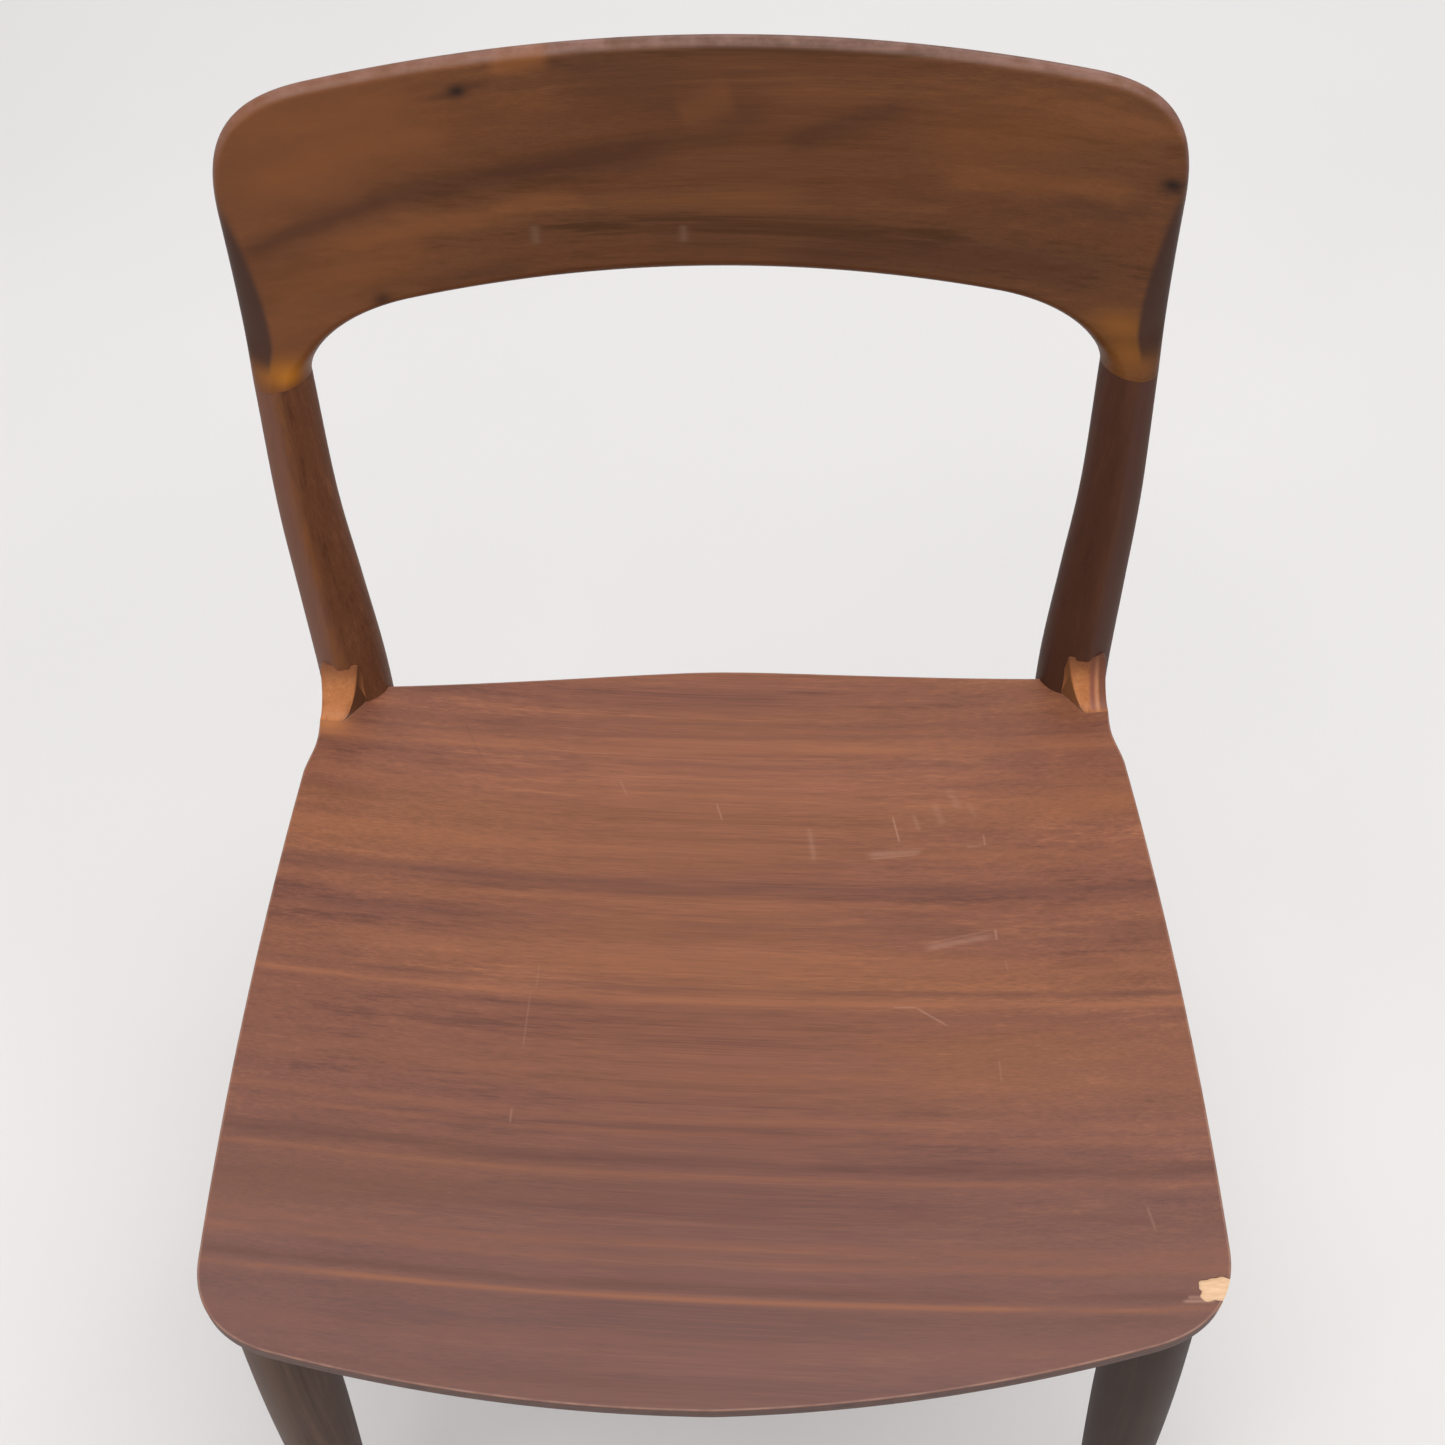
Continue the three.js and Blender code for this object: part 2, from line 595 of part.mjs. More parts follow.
// The side of the right side rail, as a tool that reaches past its thickness. The rear end sweeps up
// in a cove, through the seat's notch, to the post.
function sideRailProfile(frontEnd, rearEnd) {
  const { bottom, horn, hornY, coveY, tipDrop, coveLift, coveLead } = sideRail;
  const profile = new THREE.Shape();
  profile.moveTo(frontEnd, bottom);
  profile.lineTo(rearEnd, bottom);
  profile.lineTo(rearEnd, horn - tipDrop);
  profile.lineTo(hornY, horn);
  profile.quadraticCurveTo(coveY, railTop + coveLift, seat.notchY - coveLead, railTop);
  profile.lineTo(frontEnd, railTop);
  const prism = new THREE.ExtrudeGeometry(profile, {
    depth: 2 * wide, bevelEnabled: false, curveSegments: 8 });
  return laidAlongX(prism, sideRail.frontX - wide, 0, 0);
}

function sideRailBody() {
  const frontEnd = frontRail.y;
  const rearEnd = rearLegKnee.y + sideRail.intoPost;
  const plank = bentPlank(frontEnd, rearEnd, sideRail.horn + wide);
  return minus(common(plank, sideRailProfile(frontEnd, rearEnd)),
    seatRoom(seat.notchY + gap), frontLeg(gap), rearLeg(gap),
    ...holesFor([...dowels.sideFront, ...dowels.sideRear]));
}

function blockBody(block, plan, screws) {
  const { railEnd, sideEnd, nearSide, nearRail } = plan;
  const outline = new THREE.Shape([railEnd, sideEnd, nearSide, nearRail]);
  const prism = new THREE.ExtrudeGeometry(outline, { depth: wide, bevelEnabled: false });
  prism.translate(0, 0, block.bottom);
  return minus(prism, seatRoom(), ...screws.map((pin) => along(pin, screwHole(pin.length))));
}

// ---------------------------------------------------------------- legs with their holes

function nailHole(station) {
  const room = turned([
    [0, -10], [glide.nailRadius + gap, -10], [glide.nailRadius + gap, glide.nailTop + 1],
    [0, glide.nailTop + 1]]);
  return room.rotateX(Math.PI / 2).translate(station.x, station.y, 0);
}

function frontLegBody() {
  const foot = frontLegStations[0];
  return minus(frontLeg(), seatRoom(), nailHole(foot),
    ...holesFor([...dowels.frontRail, ...dowels.sideFront]),
    along(frontBlockPin, screwHole(frontBlockPin.length)));
}

function rearLegBody() {
  const foot = rearLegStations[0];
  return minus(rearLeg(), nailHole(foot),
    ...holesFor([...dowels.rearRail, ...dowels.sideRear]),
    along(rearBlockPin, screwHole(rearBlockPin.length)),
    dowelHole(crestPin, crestDowel.radius));
}

function crestBody() {
  const hole = dowelHole(crestPin, crestDowel.radius);
  return minus(crestRail(), hole, mirrored(hole));
}

function seatCoreBody() {
  const holes = [frontSeatPin, rearSeatPin].map((pin) => along(pin, screwHole(pin.length)));
  const { veneer, layerGap, thickness } = seat;
  const sheet = seatLayer(-veneer - layerGap, veneer + layerGap - thickness);
  return minus(sheet, ...holes, ...holes.map(mirrored));
}

function seatUndersideBody() {
  const holes = [frontSeatPin, rearSeatPin].map((pin) => along(pin, screwHole(pin.length)));
  const sheet = seatLayer(seat.veneer - seat.thickness, -seat.thickness);
  return minus(sheet, ...holes, ...holes.map(mirrored));
}

// A nail-on floor glide: a flat foot with a domed edge, and its nail.
function glideBody() {
  const { footRadius, radius, height, nailRadius, nailTop } = glide;
  return turned([
    [0, 0], [footRadius, 0], [radius - 0.5, 0.9], [radius, 1.8], [radius, height],
    [nailRadius, height], [nailRadius, nailTop - 3], [0, nailTop],
  ]);
}

// ---------------------------------------------------------------- assembly

const chair = new THREE.Group();

function add(name, geometry, finish, position, quaternion) {
  const closed = welded(geometry);
  closed.computeVertexNormals();
  const mesh = new THREE.Mesh(closed, new THREE.MeshStandardMaterial(finishes[finish]));
  mesh.name = name;
  if (position) mesh.position.copy(position);
  if (quaternion) mesh.quaternion.copy(quaternion);
  chair.add(mesh);
}

function addPair(name, geometry, finish) {
  add(`${name}_right`, geometry, finish);
  add(`${name}_left`, mirrored(geometry), finish);
}

// A turned piece and its mirror image, each placed by its position and rotation.
function addPegPair(pin, geometry, finish) {
  const start = pin.start;
  const direction = pin.end.clone().sub(start).normalize();
  add(`${pin.name}_right`, geometry, finish, start, aimed(direction));
  const flip = new THREE.Vector3(-1, 1, 1);
  const mirroredDirection = direction.clone().multiply(flip);
  add(`${pin.name}_left`, geometry, finish, start.clone().multiply(flip), aimed(mirroredDirection));
}

add("crest_rail", crestBody(), "crestWood");
addPair("rear_leg", rearLegBody(), "legWood");
addPair("front_leg", frontLegBody(), "legWood");
add("front_rail", frontRailBody(), "railWood");
add("rear_rail", rearRailBody(), "railWood");
addPair("side_rail", sideRailBody(), "railWood");
add("seat_top_veneer", seatLayer(0, -seat.veneer), "seatVeneer");
add("seat_core", seatCoreBody(), "plyCore");
add("seat_underside_veneer", seatUndersideBody(), "seatVeneer");
addPair("front_corner_block", blockBody(frontBlock, frontPlan, [frontBlockPin, frontSeatPin]), "beech");
addPair("rear_corner_block", blockBody(rearBlock, rearPlan, [rearBlockPin, rearSeatPin]), "beech");

for (const pin of Object.values(dowels).flat()) {
  addPegPair(pin, dowelBody(dowel.radius, pin.length, dowel.chamfer), "beech");
}
addPegPair(crestPin, dowelBody(crestDowel.radius, crestPin.length, crestDowel.chamfer), "beech");
for (const pin of [frontBlockPin, rearBlockPin, frontSeatPin, rearSeatPin]) {
  addPegPair(pin, screwBody(pin.length), "steel");
}
for (const [name, foot] of [["front", frontLegStations[0]], ["rear", rearLegStations[0]]]) {
  const start = new THREE.Vector3(foot.x, foot.y, 0);
  addPegPair({ name: `${name}_glide`, start, end: start.clone().setZ(1) }, glideBody(), "nylon");
}

// The origin stands on the floor, in the middle of the chair's outline seen from above.
const bounds = new THREE.Box3().setFromObject(chair);
chair.position.y = -(bounds.min.y + bounds.max.y) / 2;

export default chair;
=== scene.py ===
"""Looks for a side chair in solid hardwood with a bent plywood seat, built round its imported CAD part.

Lengths in this file are millimetres in the chair's own plan, and mesh_piece() turns them into metres
in the frame of the CAD. The chair faces -Y, and +X is on the right of a person who looks at its front.
The floor and the lights are in metres.
"""

import math
from types import SimpleNamespace as Dims

import bmesh
import bpy
from mathutils import Matrix, Vector


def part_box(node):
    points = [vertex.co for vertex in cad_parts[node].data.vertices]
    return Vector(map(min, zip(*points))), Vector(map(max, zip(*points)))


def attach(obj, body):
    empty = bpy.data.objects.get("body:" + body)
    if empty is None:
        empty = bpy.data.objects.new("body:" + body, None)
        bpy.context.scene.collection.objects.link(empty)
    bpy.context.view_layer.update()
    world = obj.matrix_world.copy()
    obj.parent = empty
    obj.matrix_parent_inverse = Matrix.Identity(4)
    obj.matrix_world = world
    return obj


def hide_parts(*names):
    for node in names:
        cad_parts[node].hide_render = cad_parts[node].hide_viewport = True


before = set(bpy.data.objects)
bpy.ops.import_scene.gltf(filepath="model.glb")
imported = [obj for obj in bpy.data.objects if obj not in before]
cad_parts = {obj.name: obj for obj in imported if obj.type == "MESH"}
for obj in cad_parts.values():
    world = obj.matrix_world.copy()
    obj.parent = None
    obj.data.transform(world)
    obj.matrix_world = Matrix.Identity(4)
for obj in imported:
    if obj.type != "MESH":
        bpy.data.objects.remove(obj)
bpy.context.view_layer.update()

# ------------------------------------------------------------------ driving dimensions

MM = 0.001
SHARP_ANGLE = math.radians(40)

SEAT = Dims(
    front=-207.5, back=229.8, half_width=247.0, widest_at=-138.0,
    front_corner_x=205.0, front_bow=24.0, side_end_x=229.5, side_end_y=150.0, side_pull=(1.9, 11.0),
    flush_x=224.2, flush_y=178.0, flush_lead=12.0,
    notch_y=186.0, notch_x=211.37, notch_foot=(196.87, 205.5), notch_rear_x=196.5, notch_round=0.3,
    back_corner_x=196.0, back_corner_y=212.8, back_corner_radius=4.0, back_pull_x=52.0,
    flat_front=2.0, square_corner=8.0,
    middle_height=434.0, dish=20.0, dish_power=2.2, fall=0.0077,
    thickness=10.5, veneer=0.9, layer_gap=0.02, top_round=0.7, bottom_round=2.5, side_ease=1.0,
    worn_from=0.1, worn_to=0.5, rim_shares=(0.988, 0.9975),
)
# Where the seat's edge stays crisp, beside the side rail's horn: its reach and how crisp it is.
CRISP = Dims(x=194.0, lead_x=6.0, lead_y=5.0, gap=0.5, share=0.95)
# The place where the top veneer has broken away, near the front right corner. Each wave that makes its
# outline ragged has a size, a count round the outline, and a start.
CHIP = Dims(
    x=239.0, y=-157.2, half_x=8.5, half_y=5.8, squareness=4.0, low=435.0, high=470.0, points=48,
    waves=((0.06, 5, 1.0), (0.04, 11, 0.0)),
)
CREST = Dims(
    thickness=24.0, top_thickness=10.0, thin_from=0.05, thin_reach=0.4,
    edge_radius=9.0, top_radius=4.0, thin_across=-0.5,
    front_y=277.0, front_height=690.0, recline=0.25, plan_bow=6.3e-4,
    joint_ridge=0.35, facet=0.9, facet_rise=0.08, facet_reach=0.34, facet_fall=1.6,
    worn_from=0.2, worn_to=0.4, facet_lead=0.05, facet_blur=0.12, facet_shows=(0.02, 0.06),
    ring=192, steps=260,
)
# The right half of the crest rail's outline, seen from the front as (x, z).
CREST_OUTER = (
    ((229.8, 657.0), (229.7, 703.0), (231.2, 752.0)),
    ((231.2, 752.0), (232.0, 789.0), (221.5, 805.0), (183.0, 807.0)),
    ((183.0, 807.0), (92.0, 812.8), (0.0, 812.8)),
)
CREST_INNER = (
    ((201.2, 657.0), (199.4, 672.0), (183.0, 688.5), (146.0, 691.5)),
    ((146.0, 691.5), (73.0, 696.0), (0.0, 696.0)),
)
# Stations up each leg. Front: z, x, y, diameter. Rear: z, x, y, width, depth, ridge, flat, turn.
FRONT_LEG = (
    (3.3, 231.5, -152.0, 28.0),
    (120.0, 227.4, -151.5, 34.5),
    (240.0, 222.9, -151.0, 40.5),
    (330.0, 219.6, -150.0, 42.5),
    (445.0, 215.5, -149.0, 40.0),
)
REAR_LEG = (
    (3.3, 209.0, 262.0, 27.0, 26.0, 0.0, 0.1, 0.0),
    (150.0, 208.0, 237.0, 32.5, 32.0, 0.05, 0.15, 0.0),
    (300.0, 207.2, 219.5, 37.5, 37.0, 0.1, 0.3, 0.0),
    (400.0, 207.0, 215.0, 40.0, 38.0, 0.2, 0.35, 0.0),
    (460.0, 207.6, 220.4, 39.0, 36.0, 0.3, 0.3, 0.02),
    (520.0, 211.2, 229.2, 35.5, 32.0, 0.45, 0.2, 0.11),
    (580.0, 214.8, 238.6, 31.6, 27.5, 0.45, 0.2, 0.2),
    (656.95, 215.5, 251.5, 28.6, 24.0, 0.35, 0.3, 0.27),
)
# How suddenly the top of a front leg bends to the seat's underside.
FRONT_LEG_TOP_POWER = 12
# The ridge down the front of a faceted section, from -1 on its inner side to 1 on its outer side, the
# blur between the tones of its two faces, and how those faces fall away. Past the rim nothing stands.
RIDGE_AT = 0.14
RIDGE_BLUR = 0.3
FACET_CURVE = 0.72
SECTION_RIM = 0.9999
# Where across a front leg, from -1 to 1, its outer side begins and where it is reached in full.
FRONT_LEG_FLANK = (-0.15, 0.45)
# The rounded lower end of a leg, and the first stations up it, as shares of its height.
FOOT = Dims(round=1.2, height=0.004, stations=(0.0, 0.001, 0.002, 0.003, 0.005), first=0.01)
# Gaps that keep the legs and rails clear of the seat's underside.
LEG_GAP = 0.1
RAIL_GAP = 0.2
# The roundness of a rail's upper edges and of the corner blocks.
RAIL_TOP_EDGE = 0.6
BLOCK_EDGE = 0.8
FRONT_RAIL = Dims(y=-149.0, thickness=20.0, bottom=382.0, edge=2.0, half_length=215.0)
REAR_RAIL = Dims(y=208.0, thickness=14.0, bottom=382.0, edge=2.0, half_length=188.0)
SIDE_RAIL = Dims(
    thickness=19.0, bottom=382.0, edge=2.0, front_x=215.5, rear_x=217.6, rear_y=206.0,
    bend_from=130.0, bend_in=5.0, horn=474.0, horn_y=205.0, end_y=220.0,
    toe_edge=0.1, horn_edge=2.2, cove_power=2.2,
    toe_x=211.5, foot_x=197.0, crown_x=200.8, clear=0.06, soft_from=0.25, flank_from=0.4,
    shoulder=0.05, ledge=1.5, ledge_step=0.1,
)

# The middle of the seat's front edge tells where the chair's own plan lies in the frame.
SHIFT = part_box("seat_top_veneer")[0].y / MM - SEAT.front


# ------------------------------------------------------------------ curves and meshes

def lerp(a, b, share):
    return a + (b - a) * share


def smoothstep(value, low, high):
    share = min(1.0, max(0.0, (value - low) / (high - low)))
    return share * share * (3.0 - 2.0 * share)


def steps(count, start=0.0, end=1.0):
    return [lerp(start, end, i / count) for i in range(count + 1)]


def bezier(points, share):
    """A point of a Bezier curve of any degree."""
    while len(points) > 1:
        points = [tuple(lerp(p, q, share) for p, q in zip(a, b)) for a, b in zip(points, points[1:])]
    return points[0]


def smooth_between(stations, along):
    """Catmull-Rom interpolation up a list of stations, each a tuple of numbers."""
    place = along * (len(stations) - 1)
    i = min(int(place), len(stations) - 2)
    share = place - i
    values = []
    for column in zip(*stations):
        before = column[i - 1] if i > 0 else 2 * column[0] - column[1]
        after = column[i + 2] if i + 2 < len(column) else 2 * column[-1] - column[-2]
        a, b = column[i], column[i + 1]
        start, end = (b - before) / 2, (after - a) / 2
        s2, s3 = share * share, share ** 3
        values.append((2 * s3 - 3 * s2 + 1) * a + (s3 - 2 * s2 + share) * start
                      + (3 * s2 - 2 * s3) * b + (s3 - s2) * end)
    return values


def shade_smooth(mesh):
    """Turns the faces outwards and shades them smooth, with the sharp edges kept sharp."""
    shape = bmesh.new()
    shape.from_mesh(mesh)
    bmesh.ops.recalc_face_normals(shape, faces=shape.faces)
    for edge in shape.edges:
        edge.smooth = edge.calc_face_angle(0.0) < SHARP_ANGLE
    for face in shape.faces:
        face.smooth = True
    shape.to_mesh(mesh)
    shape.free()


def mesh_piece(name, points, faces):
    """A smooth closed mesh. Each point is (x, y, z, edge, flank): edge from 0 to 1 says how much it is
    rubbed, and flank, which may be left out, how far it lies on the outer side of its piece."""
    mesh = bpy.data.meshes.new(name)
    mesh.from_pydata([(p[0] * MM, (p[1] + SHIFT) * MM, p[2] * MM) for p in points], [], faces)
    for place, attribute in enumerate(("edge", "flank"), start=3):
        values = mesh.attributes.new(attribute, "FLOAT", "POINT")
        values.data.foreach_set("value", [p[place] if place < len(p) else 0.0 for p in points])
    shade_smooth(mesh)
    piece = bpy.data.objects.new(name, mesh)
    bpy.context.scene.collection.objects.link(piece)
    return piece


def tube(name, rows):
    """A closed mesh through rows of points, each row a ring of the same length."""
    ring = len(rows[0])
    points = [point for row in rows for point in row]
    faces = []
    for i in range(len(rows) - 1):
        for k in range(ring):
            a, b = i * ring + k, i * ring + (k + 1) % ring
            faces.append((a, b, b + ring, a + ring))
    for row, first in ((rows[0], 0), (rows[-1], (len(rows) - 1) * ring)):
        points.append(tuple(sum(values) / ring for values in zip(*row)))
        faces += [(first + k, first + (k + 1) % ring, len(points) - 1) for k in range(ring)]
    return mesh_piece(name, points, faces)


def loft(name, ring, alongs, place):
    turn = 2 * math.pi / ring
    return tube(name, [[place(along, k * turn) for k in range(ring)] for along in alongs])


def mirror_copy(piece, name):
    mesh = piece.data.copy()
    mesh.name = name
    mesh.transform(Matrix.Scale(-1, 4, (1, 0, 0)))
    mesh.flip_normals()
    copy = bpy.data.objects.new(name, mesh)
    bpy.context.scene.collection.objects.link(copy)
    return copy


def cope(piece, *others):
    """Cuts the piece to the shape of the others, and keeps the result as its mesh."""
    for other in others:
        cut = piece.modifiers.new("cope", "BOOLEAN")
        cut.operation = "DIFFERENCE"
        cut.solver = "EXACT"
        cut.object = other
    bpy.context.view_layer.update()
    graph = bpy.context.evaluated_depsgraph_get()
    mesh = bpy.data.meshes.new_from_object(piece.evaluated_get(graph))
    piece.modifiers.clear()
    shade_smooth(mesh)
    piece.data = mesh
    return piece


# ------------------------------------------------------------------ legs and crest rail

def section_stand(across, is_front, flat, outer_facet, inner_facet):
    """How far a section's surface stands from its middle, 0 to 1, at across from -1 inner to 1 outer."""
    if abs(across) >= SECTION_RIM:
        return 0.0
    is_outer = across > (lerp(0.0, RIDGE_AT, outer_facet) if is_front else 0.0)
    facet = (outer_facet if is_outer else inner_facet) if is_front else 0.0
    side = 1.0 if is_outer else -1.0
    start = lerp(side * flat, RIDGE_AT, facet)
    fall = min(1.0, max(0.0, (across - start) * side) / (1.0 - start * side))
    rounded = math.sqrt(max(0.0, 1.0 - fall * fall))
    faceted = (1.0 - fall) ** FACET_CURVE
    return lerp(rounded, faceted, facet)


def foot_inset(along):
    """How far the leg draws in at its lower end, where the edge of the foot is rounded."""
    return FOOT.round * (1.0 - smoothstep(along, 0.0, FOOT.height))


def leg_stations(count):
    return list(FOOT.stations) + steps(count, FOOT.first, 1.0)


def front_leg(name):
    def place(along, angle):
        z, x, y, size = smooth_between(FRONT_LEG, along)
        foot = foot_inset(along)
        radius = size / 2 - foot
        px, py = x + math.sin(angle) * radius, y - math.cos(angle) * radius
        top = seat_height(px, py) - SEAT.thickness - LEG_GAP
        pz = z + (top - FRONT_LEG[-1][0]) * along ** FRONT_LEG_TOP_POWER
        return px, py, pz, 0.0, smoothstep(math.sin(angle), *FRONT_LEG_FLANK)
    return loft(name, 72, leg_stations(70), place)


def rear_leg(name):
    def place(along, angle):
        z, x, y, width, depth, ridge, flat, turn = smooth_between(REAR_LEG, along)
        ridge = min(1.0, max(0.0, ridge))
        foot = foot_inset(along)
        across, front = math.sin(angle), math.cos(angle)
        stand = section_stand(across, front > 0, flat, ridge, ridge)
        aside = across * (width / 2 - foot)
        reach = stand * (depth / 2 - foot) * (1 if front > 0 else -1)
        flank = smoothstep(across, RIDGE_AT - RIDGE_BLUR, RIDGE_AT + RIDGE_BLUR)
        return x + aside, y - reach - turn * aside, z, 0.0, flank
    return loft(name, 96, leg_stations(110), place)


def path_lengths(curves, count=60):
    """Points along joined Bezier curves with their distance from the start."""
    points = [bezier(curves[0], 0.0)]
    for curve in curves:
        points += [bezier(curve, share) for share in steps(count)[1:]]
    run = [0.0]
    for a, b in zip(points, points[1:]):
        run.append(run[-1] + math.dist(a, b))
    return points, run


def point_along(path, share):
    points, run = path
    target = share * run[-1]
    for i in range(len(run) - 1):
        if run[i + 1] >= target:
            inner = (target - run[i]) / (run[i + 1] - run[i])
            return tuple(lerp(p, q, inner) for p, q in zip(points[i], points[i + 1]))
    return points[-1]


def crest_front(x, z):
    return CREST.front_y + CREST.recline * (z - CREST.front_height) - CREST.plan_bow * x * x


def crest_rail(name):
    outer, inner = path_lengths(CREST_OUTER), path_lengths(CREST_INNER)

    def place(along, angle):
        from_joint = min(along, 1.0 - along) * 2.0
        side = 1.0 if along < 0.5 else -1.0
        top, bottom = point_along(outer, from_joint), point_along(inner, from_joint)
        half_width = math.dist(top, bottom) / 2
        opening = smoothstep(from_joint, 0.0, CREST.facet_rise)
        left = 1.0 - (from_joint - CREST.facet_rise) / (CREST.facet_reach - CREST.facet_rise)
        closing = min(1.0, max(0.0, left)) ** CREST.facet_fall
        facet = lerp(CREST.joint_ridge, CREST.facet, opening) * closing
        inner_facet = CREST.joint_ridge * (1.0 - opening)
        across, front = math.sin(angle), math.cos(angle)
        thinning = smoothstep(from_joint, CREST.thin_from, CREST.thin_reach)
        outer_radius = lerp(CREST.edge_radius, CREST.top_radius, thinning)
        flat = 1.0 - (outer_radius if across > 0 else CREST.edge_radius) / half_width
        stand = section_stand(across, front > 0, flat, facet, inner_facet)
        x, z = (lerp(b, t, (across + 1.0) / 2.0) for b, t in zip(bottom, top))
        thinned = thinning * smoothstep(across, CREST.thin_across, 1.0)
        thickness = lerp(CREST.thickness, CREST.top_thickness, thinned)
        y = crest_front(x, z) + thickness / 2 * (1.0 - stand * (1 if front > 0 else -1))
        # Rubbed top edge; its colour also stands in as a painted highlight along the edge.
        edge = smoothstep(across, lerp(flat, 1.0, 0.2), 1.0)
        edge *= smoothstep(from_joint, CREST.worn_from, CREST.worn_to)
        # The mask of the outer side flat, which the crest's material darkens as painted shade.
        facet_start = lerp(flat, RIDGE_AT, facet)
        painted_shade_on_facet = smoothstep(across, facet_start - CREST.facet_lead, facet_start + CREST.facet_blur)
        painted_shade_on_facet *= smoothstep(facet, 0.0, 0.2) * smoothstep(from_joint, *CREST.facet_shows)
        return side * x, y, z, edge, painted_shade_on_facet
    return loft(name, CREST.ring, steps(CREST.steps), place)


# ------------------------------------------------------------------ seat

def seat_height(x, y):
    """The upper face of the seat, bent across its width and falling a little to the back."""
    bend = (abs(x) / SEAT.half_width) ** SEAT.dish_power
    return SEAT.middle_height + SEAT.dish * bend - SEAT.fall * y


def seat_outline():
    """The seat seen from above: (x, y) points in a ring, starting in the middle of the front."""
    s = SEAT
    corner_y = s.front + s.front_bow
    corner = (s.front_corner_x, corner_y)
    widest = (s.half_width, s.widest_at)
    side_end = (s.side_end_x, s.side_end_y)
    notch = (s.notch_x, s.notch_y)
    notch_rear = (s.notch_rear_x, s.back_corner_y - s.back_corner_radius)
    back_corner = (s.back_corner_x, s.back_corner_y)
    flush = (s.flush_x, s.flush_y)
    side_lead = (s.side_end_x - s.side_pull[0], s.side_end_y + s.side_pull[1])
    flush_lead = (s.flush_x, s.flush_y - s.flush_lead)
    before_notch = (s.flush_x, s.notch_y - s.notch_round)
    into_notch = (s.flush_x - s.notch_round, s.notch_y)
    curves = (
        ((0.0, s.front), (s.front_corner_x / 2, s.front + s.flat_front), corner),
        (corner, (s.half_width, corner_y + s.square_corner), widest),
        (widest, (s.half_width - s.side_ease, 0.0), side_end),
        (side_end, side_lead, flush_lead, flush),
        (flush, before_notch),
        (before_notch, (s.flush_x, s.notch_y), into_notch),
        (into_notch, notch),
        (notch, s.notch_foot),
        (s.notch_foot, notch_rear),
        (notch_rear, (s.notch_rear_x, s.back_corner_y), back_corner),
        (back_corner, (s.back_pull_x, s.back), (0.0, s.back)),
    )
    counts = (44, 60, 40, 12, 4, 2, 6, 12, 3, 4, 44)
    right = [curves[0][0]]
    for curve, count in zip(curves, counts):
        right += [bezier(curve, share) for share in steps(count)[1:]]
    return right + [(-x, y) for x, y in reversed(right[1:-1])]


def outward(outline, i):
    """The unit normal of a ring of points at one of them."""
    (ax, ay), (bx, by) = outline[i - 1], outline[(i + 1) % len(outline)]
    length = math.hypot(bx - ax, by - ay)
    return (by - ay) / length, (ax - bx) / length


def chip_cutter(name):
    """A prism with the ragged, rounded outline of the chip."""
    power = CHIP.squareness
    turn = 2 * math.pi / CHIP.points
    rows = []
    for z in (CHIP.low, CHIP.high):
        row = []
        for angle in steps(CHIP.points - 1, 0.0, turn * (CHIP.points - 1)):
            across, along = math.cos(angle), math.sin(angle)
            squared = (abs(across) ** power + abs(along) ** power) ** (-1 / power)
            ragged = sum(size * math.sin(count * angle + start) for size, count, start in CHIP.waves)
            reach = squared * (1.0 + ragged)
            x = CHIP.x + across * reach * CHIP.half_x
            row.append((x, CHIP.y + along * reach * CHIP.half_y, z, 0.0))
        rows.append(row)
    return tube(name, rows)


def rounding(radius, depth):
    """How far a rounded edge has drawn in, at a depth below the face that it rounds off from."""
    rise = max(0.0, radius - depth)
    return radius - math.sqrt(max(0.0, radius ** 2 - rise ** 2))


def edge_inset(depth, roundness):
    """How far the panel's edge has drawn in, at a depth below the upper face."""
    return (rounding(SEAT.top_round * roundness, depth)
            + rounding(SEAT.bottom_round * roundness, SEAT.thickness - depth))


def edge_roundness(x, y):
    """The edge is crisp where the side rail's horn stands against it."""
    behind = smoothstep(y, SEAT.notch_y - CRISP.lead_y, SEAT.notch_y - CRISP.gap)
    outside = smoothstep(abs(x), CRISP.x - CRISP.lead_x, CRISP.x)
    return 1.0 - CRISP.share * behind * outside


def seat_layer(name, top, bottom):
    """One layer of the panel between two depths below the upper face."""
    outline = seat_outline()
    normals = [outward(outline, i) for i in range(len(outline))]
    inner_shares = steps(22, 0.03, 0.97)

    def ring(share, depth, edge):
        row = []
        for (x, y), (nx, ny) in zip(outline, normals):
            inset = edge_inset(depth, edge_roundness(x, y))
            px, py = (x - nx * inset) * share, (y - ny * inset) * share
            row.append((px, py, seat_height(px, py) - depth, edge))
        return row

    rows = [ring(share, top, 0.0) for share in inner_shares + list(SEAT.rim_shares)]
    for depth in steps(6, top, bottom):
        rows.append(ring(1.0, depth, 1.0 - smoothstep(depth, SEAT.worn_from, SEAT.worn_to)))
    rows += [ring(share, bottom, 0.0) for share in [SEAT.rim_shares[0]] + inner_shares[::-1]]
    return tube(name, rows)


# ------------------------------------------------------------------ rails

def rail_ring(half, low, high, low_edge, high_edge, corner_steps=5):
    """(aside, z, edge) points round a rail's section, with rounded corners."""
    corners = (
        (half, low, low_edge, -90), (half, high, high_edge, 0),
        (-half, high, high_edge, 90), (-half, low, low_edge, 180),
    )
    ring = []
    for x, z, radius, start in corners:
        cx = x - math.copysign(radius, x)
        cz = z + radius if z == low else z - radius
        for turn in steps(corner_steps, start, start + 90):
            angle = math.radians(turn)
            middle = 1.0 - abs(turn - start - 45) / 45
            ring.append((cx + radius * math.cos(angle), cz + radius * math.sin(angle), middle))
    return ring


def cross_rail(name, rail):
    rows = []
    for x in steps(48, -rail.half_length, rail.half_length):
        top = seat_height(x, rail.y) - SEAT.thickness - RAIL_GAP
        ring = rail_ring(rail.thickness / 2, rail.bottom, top, rail.edge, RAIL_TOP_EDGE)
        rows.append([(x, rail.y + aside, z, edge) for aside, z, edge in ring])
    return tube(name, rows)


